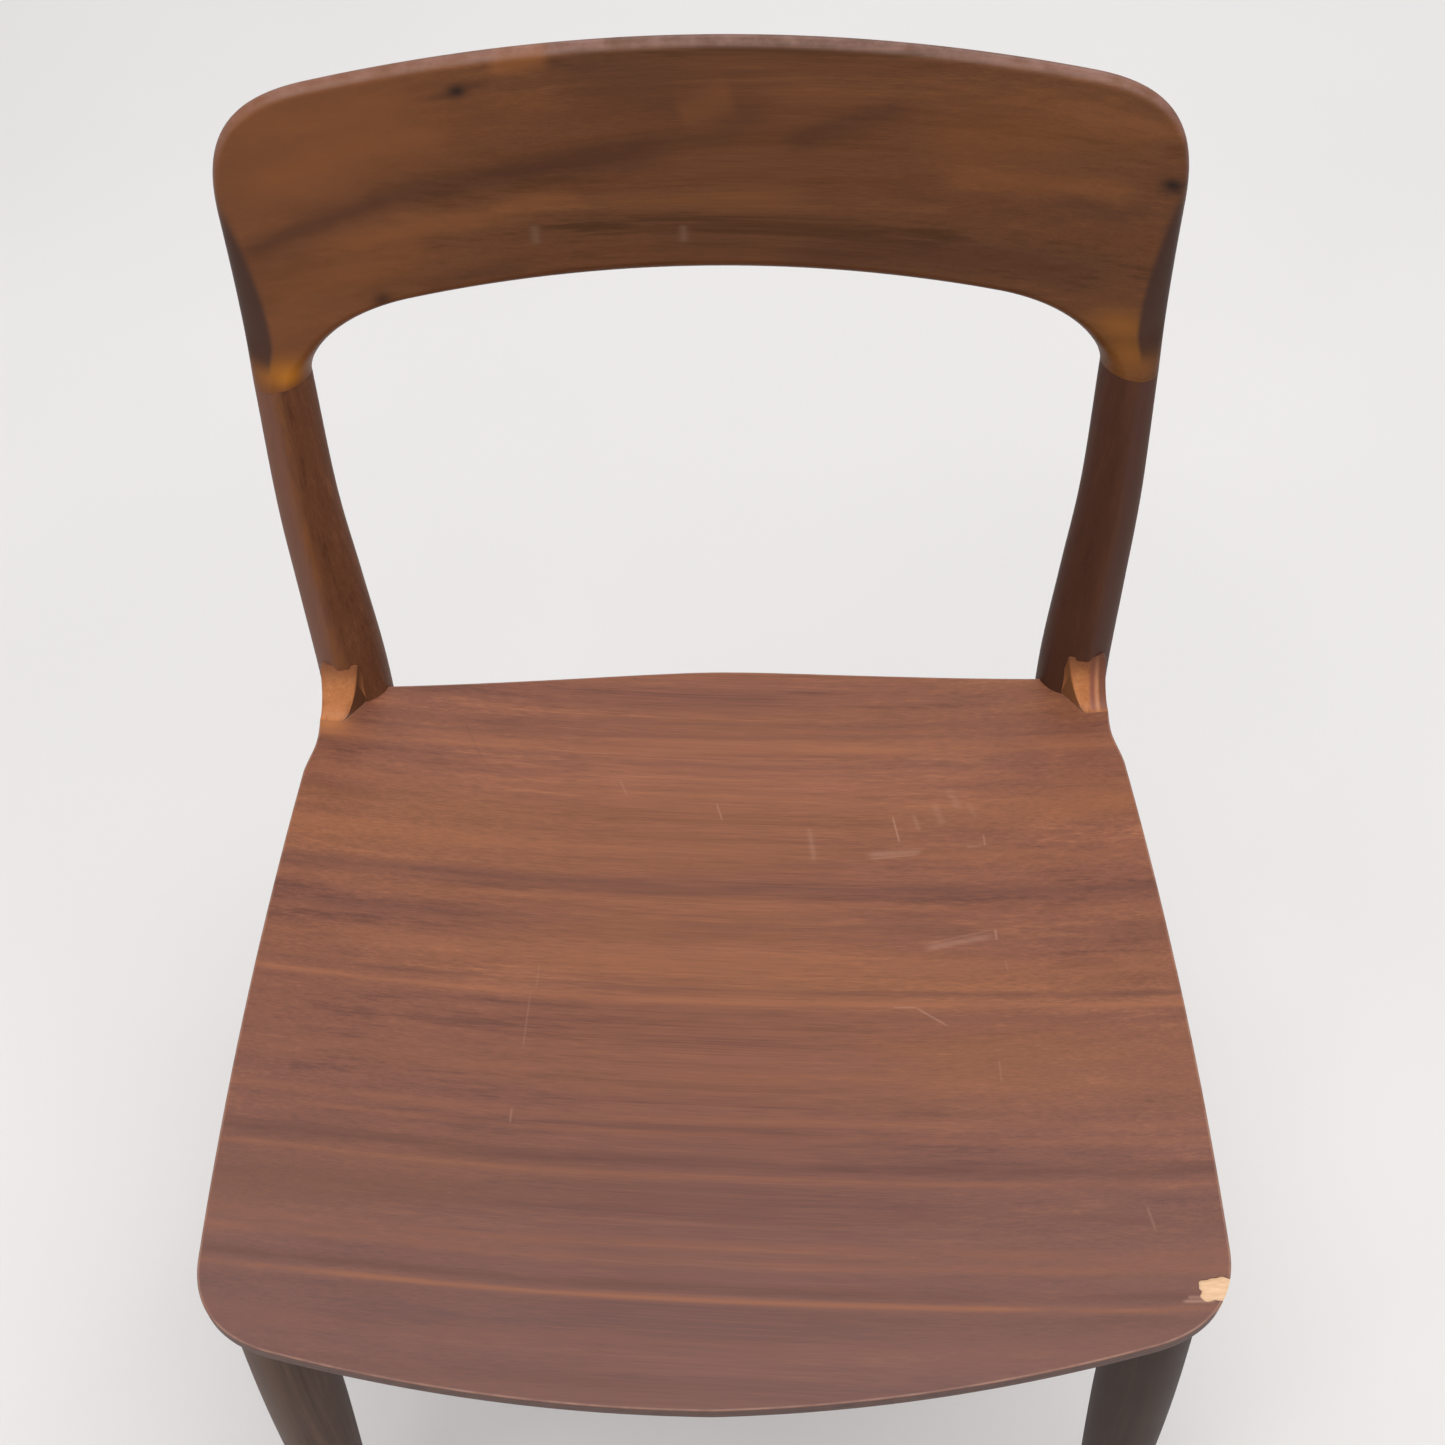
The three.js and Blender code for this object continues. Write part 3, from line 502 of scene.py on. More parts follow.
def side_rail_x(y):
    rail = SIDE_RAIL
    share = (y - FRONT_RAIL.y) / (rail.rear_y - FRONT_RAIL.y)
    bend = max(0.0, (y - rail.bend_from) / (rail.rear_y - rail.bend_from))
    return lerp(rail.front_x, rail.rear_x, share) - rail.bend_in * bend * bend


def side_rail(name):
    """The rear end, the horn, stands up through the seat's notch and sweeps up in a cove to the post. Its
    inner side flares from a narrow toe to a broad foot at the post."""
    rail = SIDE_RAIL
    half = rail.thickness / 2
    notch = SEAT.notch_y + rail.clear
    under_seat = [(y, False) for y in steps(40, FRONT_RAIL.y, notch)]
    behind = [(y, True) for y in steps(30, notch, rail.horn_y)] + [(rail.end_y, True)]
    rows = []
    for y, is_horn in under_seat + behind:
        x = side_rail_x(y)
        flush = seat_height(x, min(y, notch))
        rise = min(1.0, max(0.0, (y - notch) / (rail.horn_y - notch)))
        level = 1.0 - rise ** rail.cove_power if is_horn else 0.0
        top = lerp(rail.horn, flush, level) if is_horn else flush - SEAT.thickness - RAIL_GAP
        softening = smoothstep(rise, rail.soft_from, 1.0)
        soft = lerp(rail.toe_edge, rail.horn_edge, softening) if is_horn else RAIL_TOP_EDGE
        foot = lerp(rail.toe_x, rail.foot_x, rise) if is_horn else x - half
        crown = lerp(rail.toe_x, rail.crown_x, rise) if is_horn else x - half
        ring = rail_ring(half, rail.bottom, top, rail.edge, soft)
        corner = len(ring) // 4
        row = [(x + aside, y, z, edge, 0.0) for aside, z, edge in ring[:2 * corner]]
        for i, (aside, z, edge) in enumerate(ring[2 * corner:3 * corner]):
            # flank marks the horn's inner wall, which the material darkens as painted shade.
            flank = smoothstep(i / (corner - 1), rail.flank_from, 1.0)
            row.append((crown + half + aside, y, z, edge, flank))
        for i in range(corner, 3 * corner):
            px, py, z, edge, flank = row[i]
            row[i] = (px, py, z + level * (seat_height(px, notch) - flush), edge, flank)
        shoulder = min(flush, row[-1][2]) - rail.shoulder
        ledge = flush - SEAT.thickness - rail.ledge
        row += [(foot, y, shoulder, 0.0, 1.0), (foot, y, ledge, 0.0, 1.0)]
        row.append((x - half, y, ledge - rail.ledge_step, 0.0, 0.0))
        rows.append(row + [(x + aside, y, z, edge, 0.0) for aside, z, edge in ring[3 * corner:]])
    return tube(name, rows)


# ------------------------------------------------------------------ node materials

def colour(text):
    """Linear colour from six hexadecimal digits."""
    parts = [int(text[i:i + 2], 16) / 255 for i in (0, 2, 4)]
    return [p / 12.92 if p <= 0.04045 else ((p + 0.055) / 1.055) ** 2.4 for p in parts] + [1.0]


class Look:
    """A node material under construction. Each helper adds nodes and returns an output socket."""

    def __init__(self, name):
        self.material = bpy.data.materials.new(name)
        self.material.use_nodes = True
        self.tree = self.material.node_tree
        self.tree.nodes.clear()
        place = self.add("ShaderNodeTexCoord").outputs["Object"]
        self.position = self.vector("MULTIPLY", place, (1 / MM,) * 3)

    def add(self, kind, inputs=None, **settings):
        node = self.tree.nodes.new(kind)
        for key, value in settings.items():
            setattr(node, key, value)
        for key, value in (inputs or {}).items():
            if isinstance(value, bpy.types.NodeSocket):
                self.tree.links.new(value, node.inputs[key])
            else:
                node.inputs[key].default_value = value
        return node

    def math(self, operation, a, b=0.0, c=0.0):
        return self.add("ShaderNodeMath", {0: a, 1: b, 2: c}, operation=operation).outputs[0]

    def times(self, a, b):
        return self.math("MULTIPLY", a, b)

    def less(self, a, b):
        return self.math("SUBTRACT", a, b)

    def tint(self, base, share, shade):
        """The base with a share of a shade, given as six hexadecimal digits."""
        return self.mix(share, base, colour(shade))

    def attribute(self, name):
        return self.add("ShaderNodeAttribute", attribute_name=name).outputs["Fac"]

    def vector(self, operation, a, b):
        return self.add("ShaderNodeVectorMath", {0: a, 1: b}, operation=operation).outputs[0]

    def dot(self, a, b):
        return self.add("ShaderNodeVectorMath", {0: a, 1: b}, operation="DOT_PRODUCT").outputs["Value"]

    def mix(self, share, a, b, blend="MIX"):
        node = self.add("ShaderNodeMix", {0: share, 6: a, 7: b}, data_type="RGBA", blend_type=blend)
        return node.outputs[2]

    def ranged(self, value, low, high, to_low=0.0, to_high=1.0):
        inputs = {0: value, 1: low, 2: high, 3: to_low, 4: to_high}
        return self.add("ShaderNodeMapRange", inputs, interpolation_type="SMOOTHSTEP").outputs[0]

    def noise(self, place, size, detail=2.0, roughness=0.5, seed=0.0):
        """Noise from 0 to 1 whose features have the given size along each axis, in millimetres."""
        scaled = self.vector("MULTIPLY", place, tuple(1 / s for s in size))
        moved = self.vector("ADD", scaled, (seed, 2 * seed, 3 * seed))
        inputs = {"Vector": moved, "Scale": 1.0, "Detail": detail, "Roughness": roughness}
        return self.add("ShaderNodeTexNoise", inputs).outputs["Fac"]

    def warped(self, place, size, amount, seed=0.0):
        """The place pushed about by slow noise, so that grain lines waver."""
        shift = self.times(self.less(self.noise(place, size, 1.0, 0.4, seed), 0.5), amount)
        offset = self.add("ShaderNodeCombineXYZ", {1: shift, 2: shift}).outputs[0]
        return self.vector("ADD", place, offset)

    def along_grain(self, axis, slope=0.0):
        """Position with its first coordinate along the grain: axis 0, 1 or 2 for X, Y or Z."""
        parts = self.add("ShaderNodeSeparateXYZ", {0: self.position}).outputs
        first, second, third = parts[axis], parts[(axis + 1) % 3], parts[(axis + 2) % 3]
        second = self.math("MULTIPLY_ADD", first, slope, second)
        return self.add("ShaderNodeCombineXYZ", {0: first, 1: second, 2: third}).outputs[0]

    def part(self, place, index):
        return self.add("ShaderNodeSeparateXYZ", {0: place}).outputs[index]

    def bell(self, value, centre, width):
        """1 at the centre, falling off smoothly to 0 over about twice the width."""
        away = self.math("MULTIPLY_ADD", value, 1 / width, -centre / width)
        return self.math("POWER", math.exp(-1), self.times(away, away))

    def spot(self, centre, size):
        """1 at a point of the chair's plan, falling off to 0; size is the reach along each axis."""
        x, y, z = centre
        away = self.vector("SUBTRACT", self.position, (x, y + SHIFT, z))
        scaled = self.vector("MULTIPLY", away, tuple(1 / s for s in size))
        return self.math("POWER", math.exp(-1), self.dot(scaled, scaled))

    def stroke(self, place, start, end, width, axes=(0, 1)):
        """1 on a straight mark between two plan points, tapering off over its width. The points give
        the position along the two axes named, and the mark runs through along the third."""
        length = math.dist(start, end)
        middle, along, aside = [0.0, SHIFT, 0.0], [0.0] * 3, [0.0] * 3
        for axis, a, b in zip(axes, start, end):
            middle[axis] += (a + b) / 2
            along[axis] = (b - a) / length
        first, second = axes
        aside[first], aside[second] = -along[second], along[first]
        away = self.vector("SUBTRACT", place, middle)
        across = self.bell(self.dot(away, aside), 0.0, width)
        inside = self.ranged(self.math("ABSOLUTE", self.dot(away, along)), length / 2, length * 0.3)
        return self.times(across, inside)

    def finish(self, base, roughness, height, bump, depth, coat=0.0, metallic=0.0, specular=0.3):
        """The finished material. Its height bumps the surface, to a depth in millimetres."""
        relief = {"Height": height, "Strength": bump, "Distance": depth * MM}
        surface = self.add("ShaderNodeBsdfPrincipled", {
            "Base Color": base, "Roughness": roughness, "Metallic": metallic,
            "Coat Weight": coat, "Coat Roughness": 0.22, "Specular IOR Level": specular,
            "Normal": self.add("ShaderNodeBump", relief).outputs[0],
        })
        output = self.add("ShaderNodeOutputMaterial")
        self.tree.links.new(surface.outputs[0], output.inputs["Surface"])
        return self.material


def wood_tone(look, place, sizes, seed, waver, stretch):
    """Dark to light tone of figured wood, about 0.5, from noise drawn out along the grain."""
    broad, stripe, fine = sizes
    place = look.vector("MULTIPLY", place, (1 / stretch, 1.0, 1.0))
    wavering = look.warped(place, (260.0, 60.0, 60.0), waver, seed)
    layers = (
        (look.noise(wavering, (520.0, broad, broad), 2.0, 0.5, seed), 0.7),
        (look.noise(wavering, (300.0, stripe, stripe), 2.0, 0.5, seed + 3), 0.55),
        (look.noise(wavering, (160.0, fine, fine), 2.0, 0.6, seed + 7), 0.5),
    )
    tone = 0.5
    for value, weight in layers:
        tone = look.math("MULTIPLY_ADD", look.less(value, 0.5), weight, tone)
    return tone


def fibres(look, place, seed):
    """Fine fibres and short pores, 0 to 1."""
    strands = look.noise(place, (34.0, 0.55, 0.55), 2.0, 0.6, seed)
    pores = look.noise(place, (7.0, 0.28, 0.28), 1.0, 0.5, seed + 5)
    return strands, look.ranged(pores, 0.62, 0.8)


def wood(name, axis, dark, mid, light, sizes, seed, slope=0.0, waver=12.0, stretch=1.0, contrast=1.0,
         fibre=0.55, warm=None, edge_wear_and_highlight=None, roughness=0.45, coat=0.05, specular=0.3, more=None):
    """Satin finished wood with its grain along an axis. Its sizes are those of the broad, middle and fine
    figure. warm tints broad patches, the edge colour tints rubbed edges (on the crest rail it is also a
    painted highlight along the top edge), and more(look, place, base) adds what only this piece has."""
    look = Look(name)
    place = look.along_grain(axis, slope)
    tone = wood_tone(look, place, sizes, seed, waver, stretch)
    tone = look.math("MULTIPLY_ADD", look.less(tone, 0.5), contrast, 0.5)
    base = look.mix(look.ranged(tone, 0.25, 0.5), colour(dark), colour(mid))
    base = look.tint(base, look.ranged(tone, 0.5, 0.78), light)
    if warm:
        patch = look.ranged(look.noise(place, (420.0, 50.0, 50.0), 2.0, 0.5, seed + 11), 0.42, 0.68)
        base = look.tint(base, look.times(patch, 0.55), warm)
    strands, pores = fibres(look, place, seed)
    shade = look.math("MULTIPLY_ADD", look.less(strands, 0.5), fibre, 1.0)
    shades = look.add("ShaderNodeCombineXYZ", {0: shade, 1: shade, 2: shade}).outputs[0]
    base = look.mix(1.0, base, shades, "MULTIPLY")
    base = look.tint(base, look.times(pores, 0.35), "2a1710")
    if more:
        base = more(look, place, base)
    gloss_range = 0.16
    clouds = look.noise(look.position, (60.0, 60.0, 60.0), 3.0, 0.6, seed + 2)
    gloss = look.math("MULTIPLY_ADD", clouds, gloss_range, roughness - gloss_range / 2)
    if edge_wear_and_highlight:
        edge = look.attribute("edge")
        patchy = look.ranged(look.noise(look.position, (14.0, 14.0, 14.0), 3.0, 0.6, seed + 9), 0.3, 0.7)
        rubbed = look.times(edge, look.math("MULTIPLY_ADD", patchy, 0.6, 0.25))
        base = look.tint(base, look.times(rubbed, 0.6), edge_wear_and_highlight)
    height = look.less(look.times(strands, 0.5), pores)
    return look.finish(base, gloss, height, 0.12, 0.12, coat, specular=specular)


# Lines and bands in the seat's veneer: distance behind the middle of the chair, half width, and
# strength, above 0 for a light line and below 0 for a dark band.
SEAT_BANDS = (
    (208.0, 5.0, -0.3), (188.0, 5.0, -0.3), (180.5, 1.6, -0.5), (173.5, 6.0, 0.55), (171.0, 1.8, 0.6),
    (163.0, 3.0, -0.35), (142.0, 16.0, 0.3), (104.0, 5.0, 0.35), (81.0, 4.5, -0.75), (76.0, 1.6, -0.4),
    (70.0, 2.2, 0.35), (55.0, 8.0, -0.5), (34.0, 5.0, 0.35), (17.0, 2.2, -0.7), (10.5, 2.0, 0.8),
    (4.0, 4.0, -0.25), (-12.0, 9.0, 0.15), (-34.0, 7.0, 0.3), (-58.0, 2.5, 0.4), (-66.0, 2.0, 0.35),
    (-82.0, 4.2, -0.8), (-78.0, 1.4, -0.3), (-89.5, 1.8, 0.4), (-108.0, 9.0, -0.4), (-126.0, 4.0, 0.3),
    (-134.0, 3.0, 0.35), (-147.0, 3.0, -0.7), (-153.0, 1.7, 0.8), (-159.0, 3.0, -0.25),
    (-176.0, 6.0, 0.15), (-196.0, 5.0, -0.25),
)
SEAT_SLOPE = 0.057


def seat_face(name):
    """Face veneer with its grain across the seat: straight lines, painted sheen, scratches and rubs."""
    def more(look, place, base):
        line_place = look.warped(place, (300.0, 400.0, 400.0), 9.0, 4.0)
        behind = look.less(look.part(line_place, 1), SHIFT)
        levelling = look.times(look.ranged(behind, 110.0, 175.0), -0.022)
        behind = look.math("MULTIPLY_ADD", look.part(look.position, 0), levelling, behind)
        # Painted sheen: the seat turns a greyer mauve towards its front, as a reflection of the pale
        # room.
        base = look.tint(base, look.times(look.ranged(behind, 60.0, -190.0), 0.64), "5f4240")
        patches = look.noise(line_place, (110.0, 7.0, 7.0), 2.0, 0.5, 14.0)
        uneven = look.ranged(patches, 0.3, 0.65, 0.35, 1.0)
        for centre, width, strength in SEAT_BANDS:
            share = look.times(look.bell(behind, centre, width), abs(strength) * 0.8)
            base = look.tint(base, look.times(share, uneven), "935b3c" if strength > 0 else "573329")
        glow = look.spot((-219.0, 185.0, 449.0), (11.0, 7.0, 12.0))
        base = look.tint(base, look.times(glow, 0.95), "a96b40")
        rubs = (
            ((82.0, 99.5), (117.0, 100.5), 1.9, 0.5), ((84.0, 96.9), (114.0, 98.4), 0.5, 0.5),
            ((99.4, 125.6), (102.8, 105.5), 0.5, 0.8), ((111.0, 126.0), (114.0, 113.0), 1.3, 0.3),
            ((123.0, 133.0), (127.0, 115.0), 2.2, 0.25), ((131.0, 142.0), (137.0, 126.0), 2.2, 0.25),
            ((141.0, 132.0), (146.0, 120.0), 1.5, 0.2), ((148.6, 110.0), (149.0, 101.0), 0.5, 0.6),
            ((138.0, 101.5), (149.0, 102.5), 0.9, 0.3), ((110.0, 38.5), (151.0, 45.0), 1.7, 0.5),
            ((112.0, 41.5), (151.0, 48.5), 0.5, 0.35), ((150.5, 49.0), (150.8, 41.5), 0.6, 0.7),
            ((93.0, 4.0), (107.0, 3.5), 0.45, 0.6), ((105.0, 4.0), (123.0, -9.0), 0.5, 0.7),
            ((52.8, 120.0), (55.6, 95.0), 1.6, 0.35), ((1.4, 137.0), (5.0, 124.0), 0.45, 0.6),
            ((-102.5, -51.0), (-103.2, -61.0), 0.5, 0.5), ((-96.5, 16.0), (-99.0, -20.0), 0.5, 0.3),
            ((-92.5, 33.0), (-94.0, 16.0), 0.5, 0.25), ((-53.0, 153.0), (-48.5, 141.0), 0.7, 0.3),
            ((-144.0, 193.0), (-130.0, 162.0), 0.5, -0.4), ((211.0, -112.0), (214.0, -127.0), 0.7, 0.35),
            ((146.4, -28.0), (147.0, -43.0), 0.5, 0.3), ((88.0, -56.0), (122.0, -57.5), 3.5, -0.35),
            ((154.0, 30.0), (155.5, 22.0), 0.6, 0.25), ((-201.0, 36.0), (-186.0, 33.0), 3.0, -0.3),
            ((221.0, -162.0), (238.0, -163.0), 0.8, 1.0), ((224.0, -160.2), (233.0, -160.8), 0.9, 0.8),
        )
        for start, end, width, strength in rubs:
            mark = look.stroke(look.position, start, end, width)
            share = look.times(mark, abs(strength) * 0.45)
            base = look.tint(base, share, "b48a76" if strength > 0 else "3f251c")
        return base
    return wood(name, 0, "623829", "7a4935", "915a3e", sizes=(26.0, 4.5, 1.1), seed=2.0, slope=SEAT_SLOPE,
                waver=3.0, stretch=1.8, contrast=0.95, fibre=1.0, warm="86522f", edge_wear_and_highlight="a98472",
                roughness=0.5, coat=0.04, more=more)


# Figure of the crest rail seen from the front: start and end as (x, z), half width, and strength,
# above 0 for a lighter streak and below 0 for a darker one.
CREST_FIGURE = (
    ((-232.0, 729.0), (-140.0, 752.0), 6.5, -0.75), ((-165.0, 749.0), (-5.0, 762.0), 7.0, -0.65),
    ((-40.0, 764.0), (25.0, 768.0), 6.0, -0.3), ((-195.0, 727.0), (-50.0, 739.0), 5.0, 0.5),
    ((-60.0, 737.0), (60.0, 735.0), 5.0, 0.25), ((-100.0, 806.0), (-68.0, 808.5), 5.0, 0.8),
    ((-75.0, 801.0), (45.0, 776.0), 13.0, -0.45), ((-12.0, 779.0), (18.0, 790.0), 7.0, 0.35),
    ((35.0, 764.0), (105.0, 785.0), 5.5, -0.5), ((-145.0, 701.0), (-85.0, 706.0), 5.0, -0.4),
    ((20.0, 707.0), (210.0, 714.0), 9.0, -0.6), ((75.0, 740.0), (235.0, 743.0), 7.0, -0.4),
    ((95.0, 770.0), (230.0, 785.0), 15.0, 0.3), ((110.0, 752.0), (215.0, 754.0), 6.0, 0.35),
    ((-225.0, 762.0), (-110.0, 783.0), 9.0, 0.4), ((-218.0, 706.0), (-130.0, 722.0), 7.0, 0.3),
    ((-230.0, 795.0), (-130.0, 792.0), 9.0, 0.3), ((-30.0, 716.0), (30.0, 714.0), 7.0, -0.2),
)


def crest_face(name):
    """Brown figured wood with two knots, yellower sapwood in the lobes, painted shade on their side
    flats.
    """
    def more(look, place, base):
        across = look.part(look.position, 0)
        # Painted light: the rail is made lighter towards its left end, where the light falls from the
        # left.
        base = look.tint(base, look.times(look.ranged(across, -60.0, -200.0), 0.6), "744628")
        swirled = look.warped(look.position, (70.0, 40.0, 22.0), 14.0, 21.0)
        swirled = look.warped(swirled, (18.0, 18.0, 5.0), 5.0, 24.0)
        for start, end, width, strength in CREST_FIGURE:
            share = look.times(look.stroke(swirled, start, end, width, (0, 2)), abs(strength) * 0.75)
            base = look.tint(base, share, "855028" if strength > 0 else "3c2116")
        dark_spots = (
            ((-113.5, 296.0, 797.0), (5.0, 30.0, 3.4), 0.9),
            ((-122.0, 296.0, 795.0), (7.0, 30.0, 2.0), 0.3),
            ((-105.0, 296.0, 799.0), (5.0, 30.0, 2.0), 0.3),
            ((223.5, 264.0, 761.5), (5.5, 30.0, 4.0), 0.9),
            ((-160.0, 262.0, 697.5), (5.0, 30.0, 4.0), 0.6),
        )
        for centre, size, share in dark_spots:
            base = look.tint(base, look.times(look.spot(centre, size), share), "1c100c")
        sapwood = (
            ((-210.0, 236.0, 664.0), (6.5, 30.0, 5.0), 1.0),
            ((-213.0, 236.0, 668.0), (13.0, 30.0, 7.0), 0.6),
            ((207.0, 240.0, 686.0), (15.0, 30.0, 8.0), 0.95),
            ((213.0, 240.0, 671.0), (12.0, 30.0, 9.0), 0.85),
            ((214.0, 240.0, 660.0), (12.0, 30.0, 6.0), 0.3),
        )
        for centre, size, share in sapwood:
            shade = "a8681f" if centre[0] < 0 else "82501f"
            base = look.tint(base, look.times(look.spot(centre, size), share), shade)
        for start, end in (((-82.5, 728.0), (-82.0, 716.0)), ((-9.5, 724.0), (-9.0, 713.0))):
            mark = look.stroke(look.position, start, end, 2.2, (0, 2))
            base = look.tint(base, look.times(mark, 0.2), "8d6f5c")
        # Painted shade: the flats on the lobes' outer sides, which face away from the light, are
        # darkened.
        facet = look.attribute("flank")
        return look.tint(base, look.times(facet, 0.88), "3a231b")
    # The edge colour paints the rubbed top edge together with a painted highlight along it.
    return wood(name, 0, "48290f", "5d3820", "6f4426", sizes=(34.0, 12.0, 3.0), seed=5.0, slope=0.03,
                waver=22.0, warm="643a1e", roughness=0.42, coat=0.03, specular=0.2, edge_wear_and_highlight="96726a",
                contrast=1.15, more=more)


def ply_edge(name):
    """Stained plywood edge: thin plies in two tones, and bare wood where the veneer is chipped."""
    look = Look(name)
    place = look.along_grain(0)
    across = look.times(look.math("ABSOLUTE", look.part(look.position, 0)), 1 / SEAT.half_width)
    bend = look.math("POWER", across, SEAT.dish_power)
    face = look.math("MULTIPLY_ADD", bend, SEAT.dish, SEAT.middle_height)
    depth = look.less(face, look.part(look.position, 2))
    plies = look.math("PINGPONG", depth, 1.45)
    share = look.ranged(plies, 0.55, 0.9)
    base = look.mix(share, colour("543831"), colour("67483e"))
    spots = look.noise(place, (12.0, 12.0, 1.2), 3.0, 0.6, 3.0)
    base = look.tint(base, look.ranged(spots, 0.4, 0.75), "452e28")
    bare = look.noise(place, (9.0, 2.0, 2.0), 3.0, 0.6, 6.0)
    wood_tint = look.mix(bare, colour("bb8f6a"), colour("eccaa4"))
    chip = look.ranged(look.spot((CHIP.x, CHIP.y, 450.0), (16.0, 10.0, 9.0)), 0.25, 0.5)
    base = look.mix(chip, base, wood_tint)
    return look.finish(base, 0.6, spots, 0.2, 0.2, 0.05)


def bare_wood(name):
    return wood(name, 0, "b48a5e", "c9a273", "dcb98c", sizes=(30.0, 6.0, 1.5), seed=8.0,
                roughness=0.65, coat=0.0)


def plated_steel(name):
    look = Look(name)
    brushed = look.noise(look.position, (1.2, 1.2, 0.15), 3.0, 0.6, 2.0)
    patches = look.noise(look.position, (4.0, 4.0, 4.0), 3.0, 0.6, 5.0)
    base = look.mix(look.ranged(patches, 0.35, 0.7), colour("a5a39c"), colour("7c7a74"))
    gloss = look.math("MULTIPLY_ADD", brushed, 0.25, 0.25)
    return look.finish(base, gloss, brushed, 0.15, 0.05, metallic=1.0)


def dark_nylon(name):
    look = Look(name)
    grit = look.noise(look.position, (0.5, 0.5, 0.5), 3.0, 0.6, 1.0)
    scuffs = look.noise(look.position, (5.0, 5.0, 3.0), 4.0, 0.65, 3.0)
    base = look.mix(look.ranged(scuffs, 0.5, 0.75), colour("2a2521"), colour("5a524b"))
    return look.finish(base, look.math("MULTIPLY_ADD", scuffs, 0.3, 0.35), grit, 0.3, 0.05)


# ------------------------------------------------------------------ building the chair

def dress(piece, material, node):
    """Gives the piece its material and slot, and puts it in the place of the CAD node."""
    piece.data.materials.clear()
    piece.data.materials.append(material)
    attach(piece, "root")
    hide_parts(node)


def right_side(look):
    """0 on the left half of the chair and 1 on the right."""
    return look.ranged(look.part(look.position, 0), -60.0, 60.0)


def leg_tones(ridge_tint, outer_side_painted_light, right_side_painted_shade, right_side_painted_shade_share):
    """Adds a warm streak down the front ridge, greyer painted light on the outer side, and painted shade
    on the right.
    """
    def more(look, place, base):
        flank = look.attribute("flank")
        inner = look.less(1.0, flank)
        ridge = look.times(look.times(flank, inner), 4.0)
        # Painted light: the outer side of each leg and post, which faces the light, is made lighter and
        # greyer.
        base = look.tint(base, look.times(flank, 0.6), outer_side_painted_light)
        streaky = look.ranged(look.noise(place, (90.0, 6.0, 6.0), 2.0, 0.5, 31.0), 0.35, 0.6)
        base = look.tint(base, look.times(look.times(ridge, streaky), 0.5), ridge_tint)
        # Painted shade: the legs and posts on the right are darkened, as the light falls from the left.
        return look.tint(base, look.times(right_side(look), right_side_painted_shade_share), right_side_painted_shade)
    return more


def horn_tones(look, place, base):
    """The horn's foot takes the seat's colour and its inner side takes painted shade. The right horn has
    bands across it, one of them a painted highlight along its outer edge.
    """
    behind = look.less(look.part(look.position, 1), SHIFT)
    out = look.math("ABSOLUTE", look.part(look.position, 0))
    right = right_side(look)
    bands_and_highlight = look.times(right, look.ranged(behind, 182.0, 190.0))
    splayed = look.math("MULTIPLY_ADD", behind, 0.1, out)
    base = look.tint(base, look.times(look.bell(splayed, 235.2, 1.7), bands_and_highlight), "8a5444")
    # Painted highlight: a light line along the right horn's rounded outer edge.
    base = look.tint(base, look.times(look.bell(splayed, 237.6, 0.8), bands_and_highlight), "b07a5c")
    outer = look.times(look.ranged(splayed, 238.2, 239.6), 0.9)
    base = look.tint(base, look.times(outer, bands_and_highlight), "754a3c")
    by_post = look.times(look.ranged(behind, 198.0, 207.0), 0.9)
    base = look.mix(by_post, base, look.mix(right, colour("744830"), colour("5e392a")))
    # Painted shade on the horn's inner wall, lighter on the right horn, whose wall faces the light.
    inner = look.attribute("flank")
    painted_inner_shade = look.mix(right, colour("4e3120"), colour("6b4528"))
    base = look.mix(look.times(inner, 0.92), base, painted_inner_shade)
    diagonal = look.math("MULTIPLY_ADD", out, 0.9, behind)
    return look.tint(base, look.ranged(diagonal, 382.0, 372.0), "7c4c35")


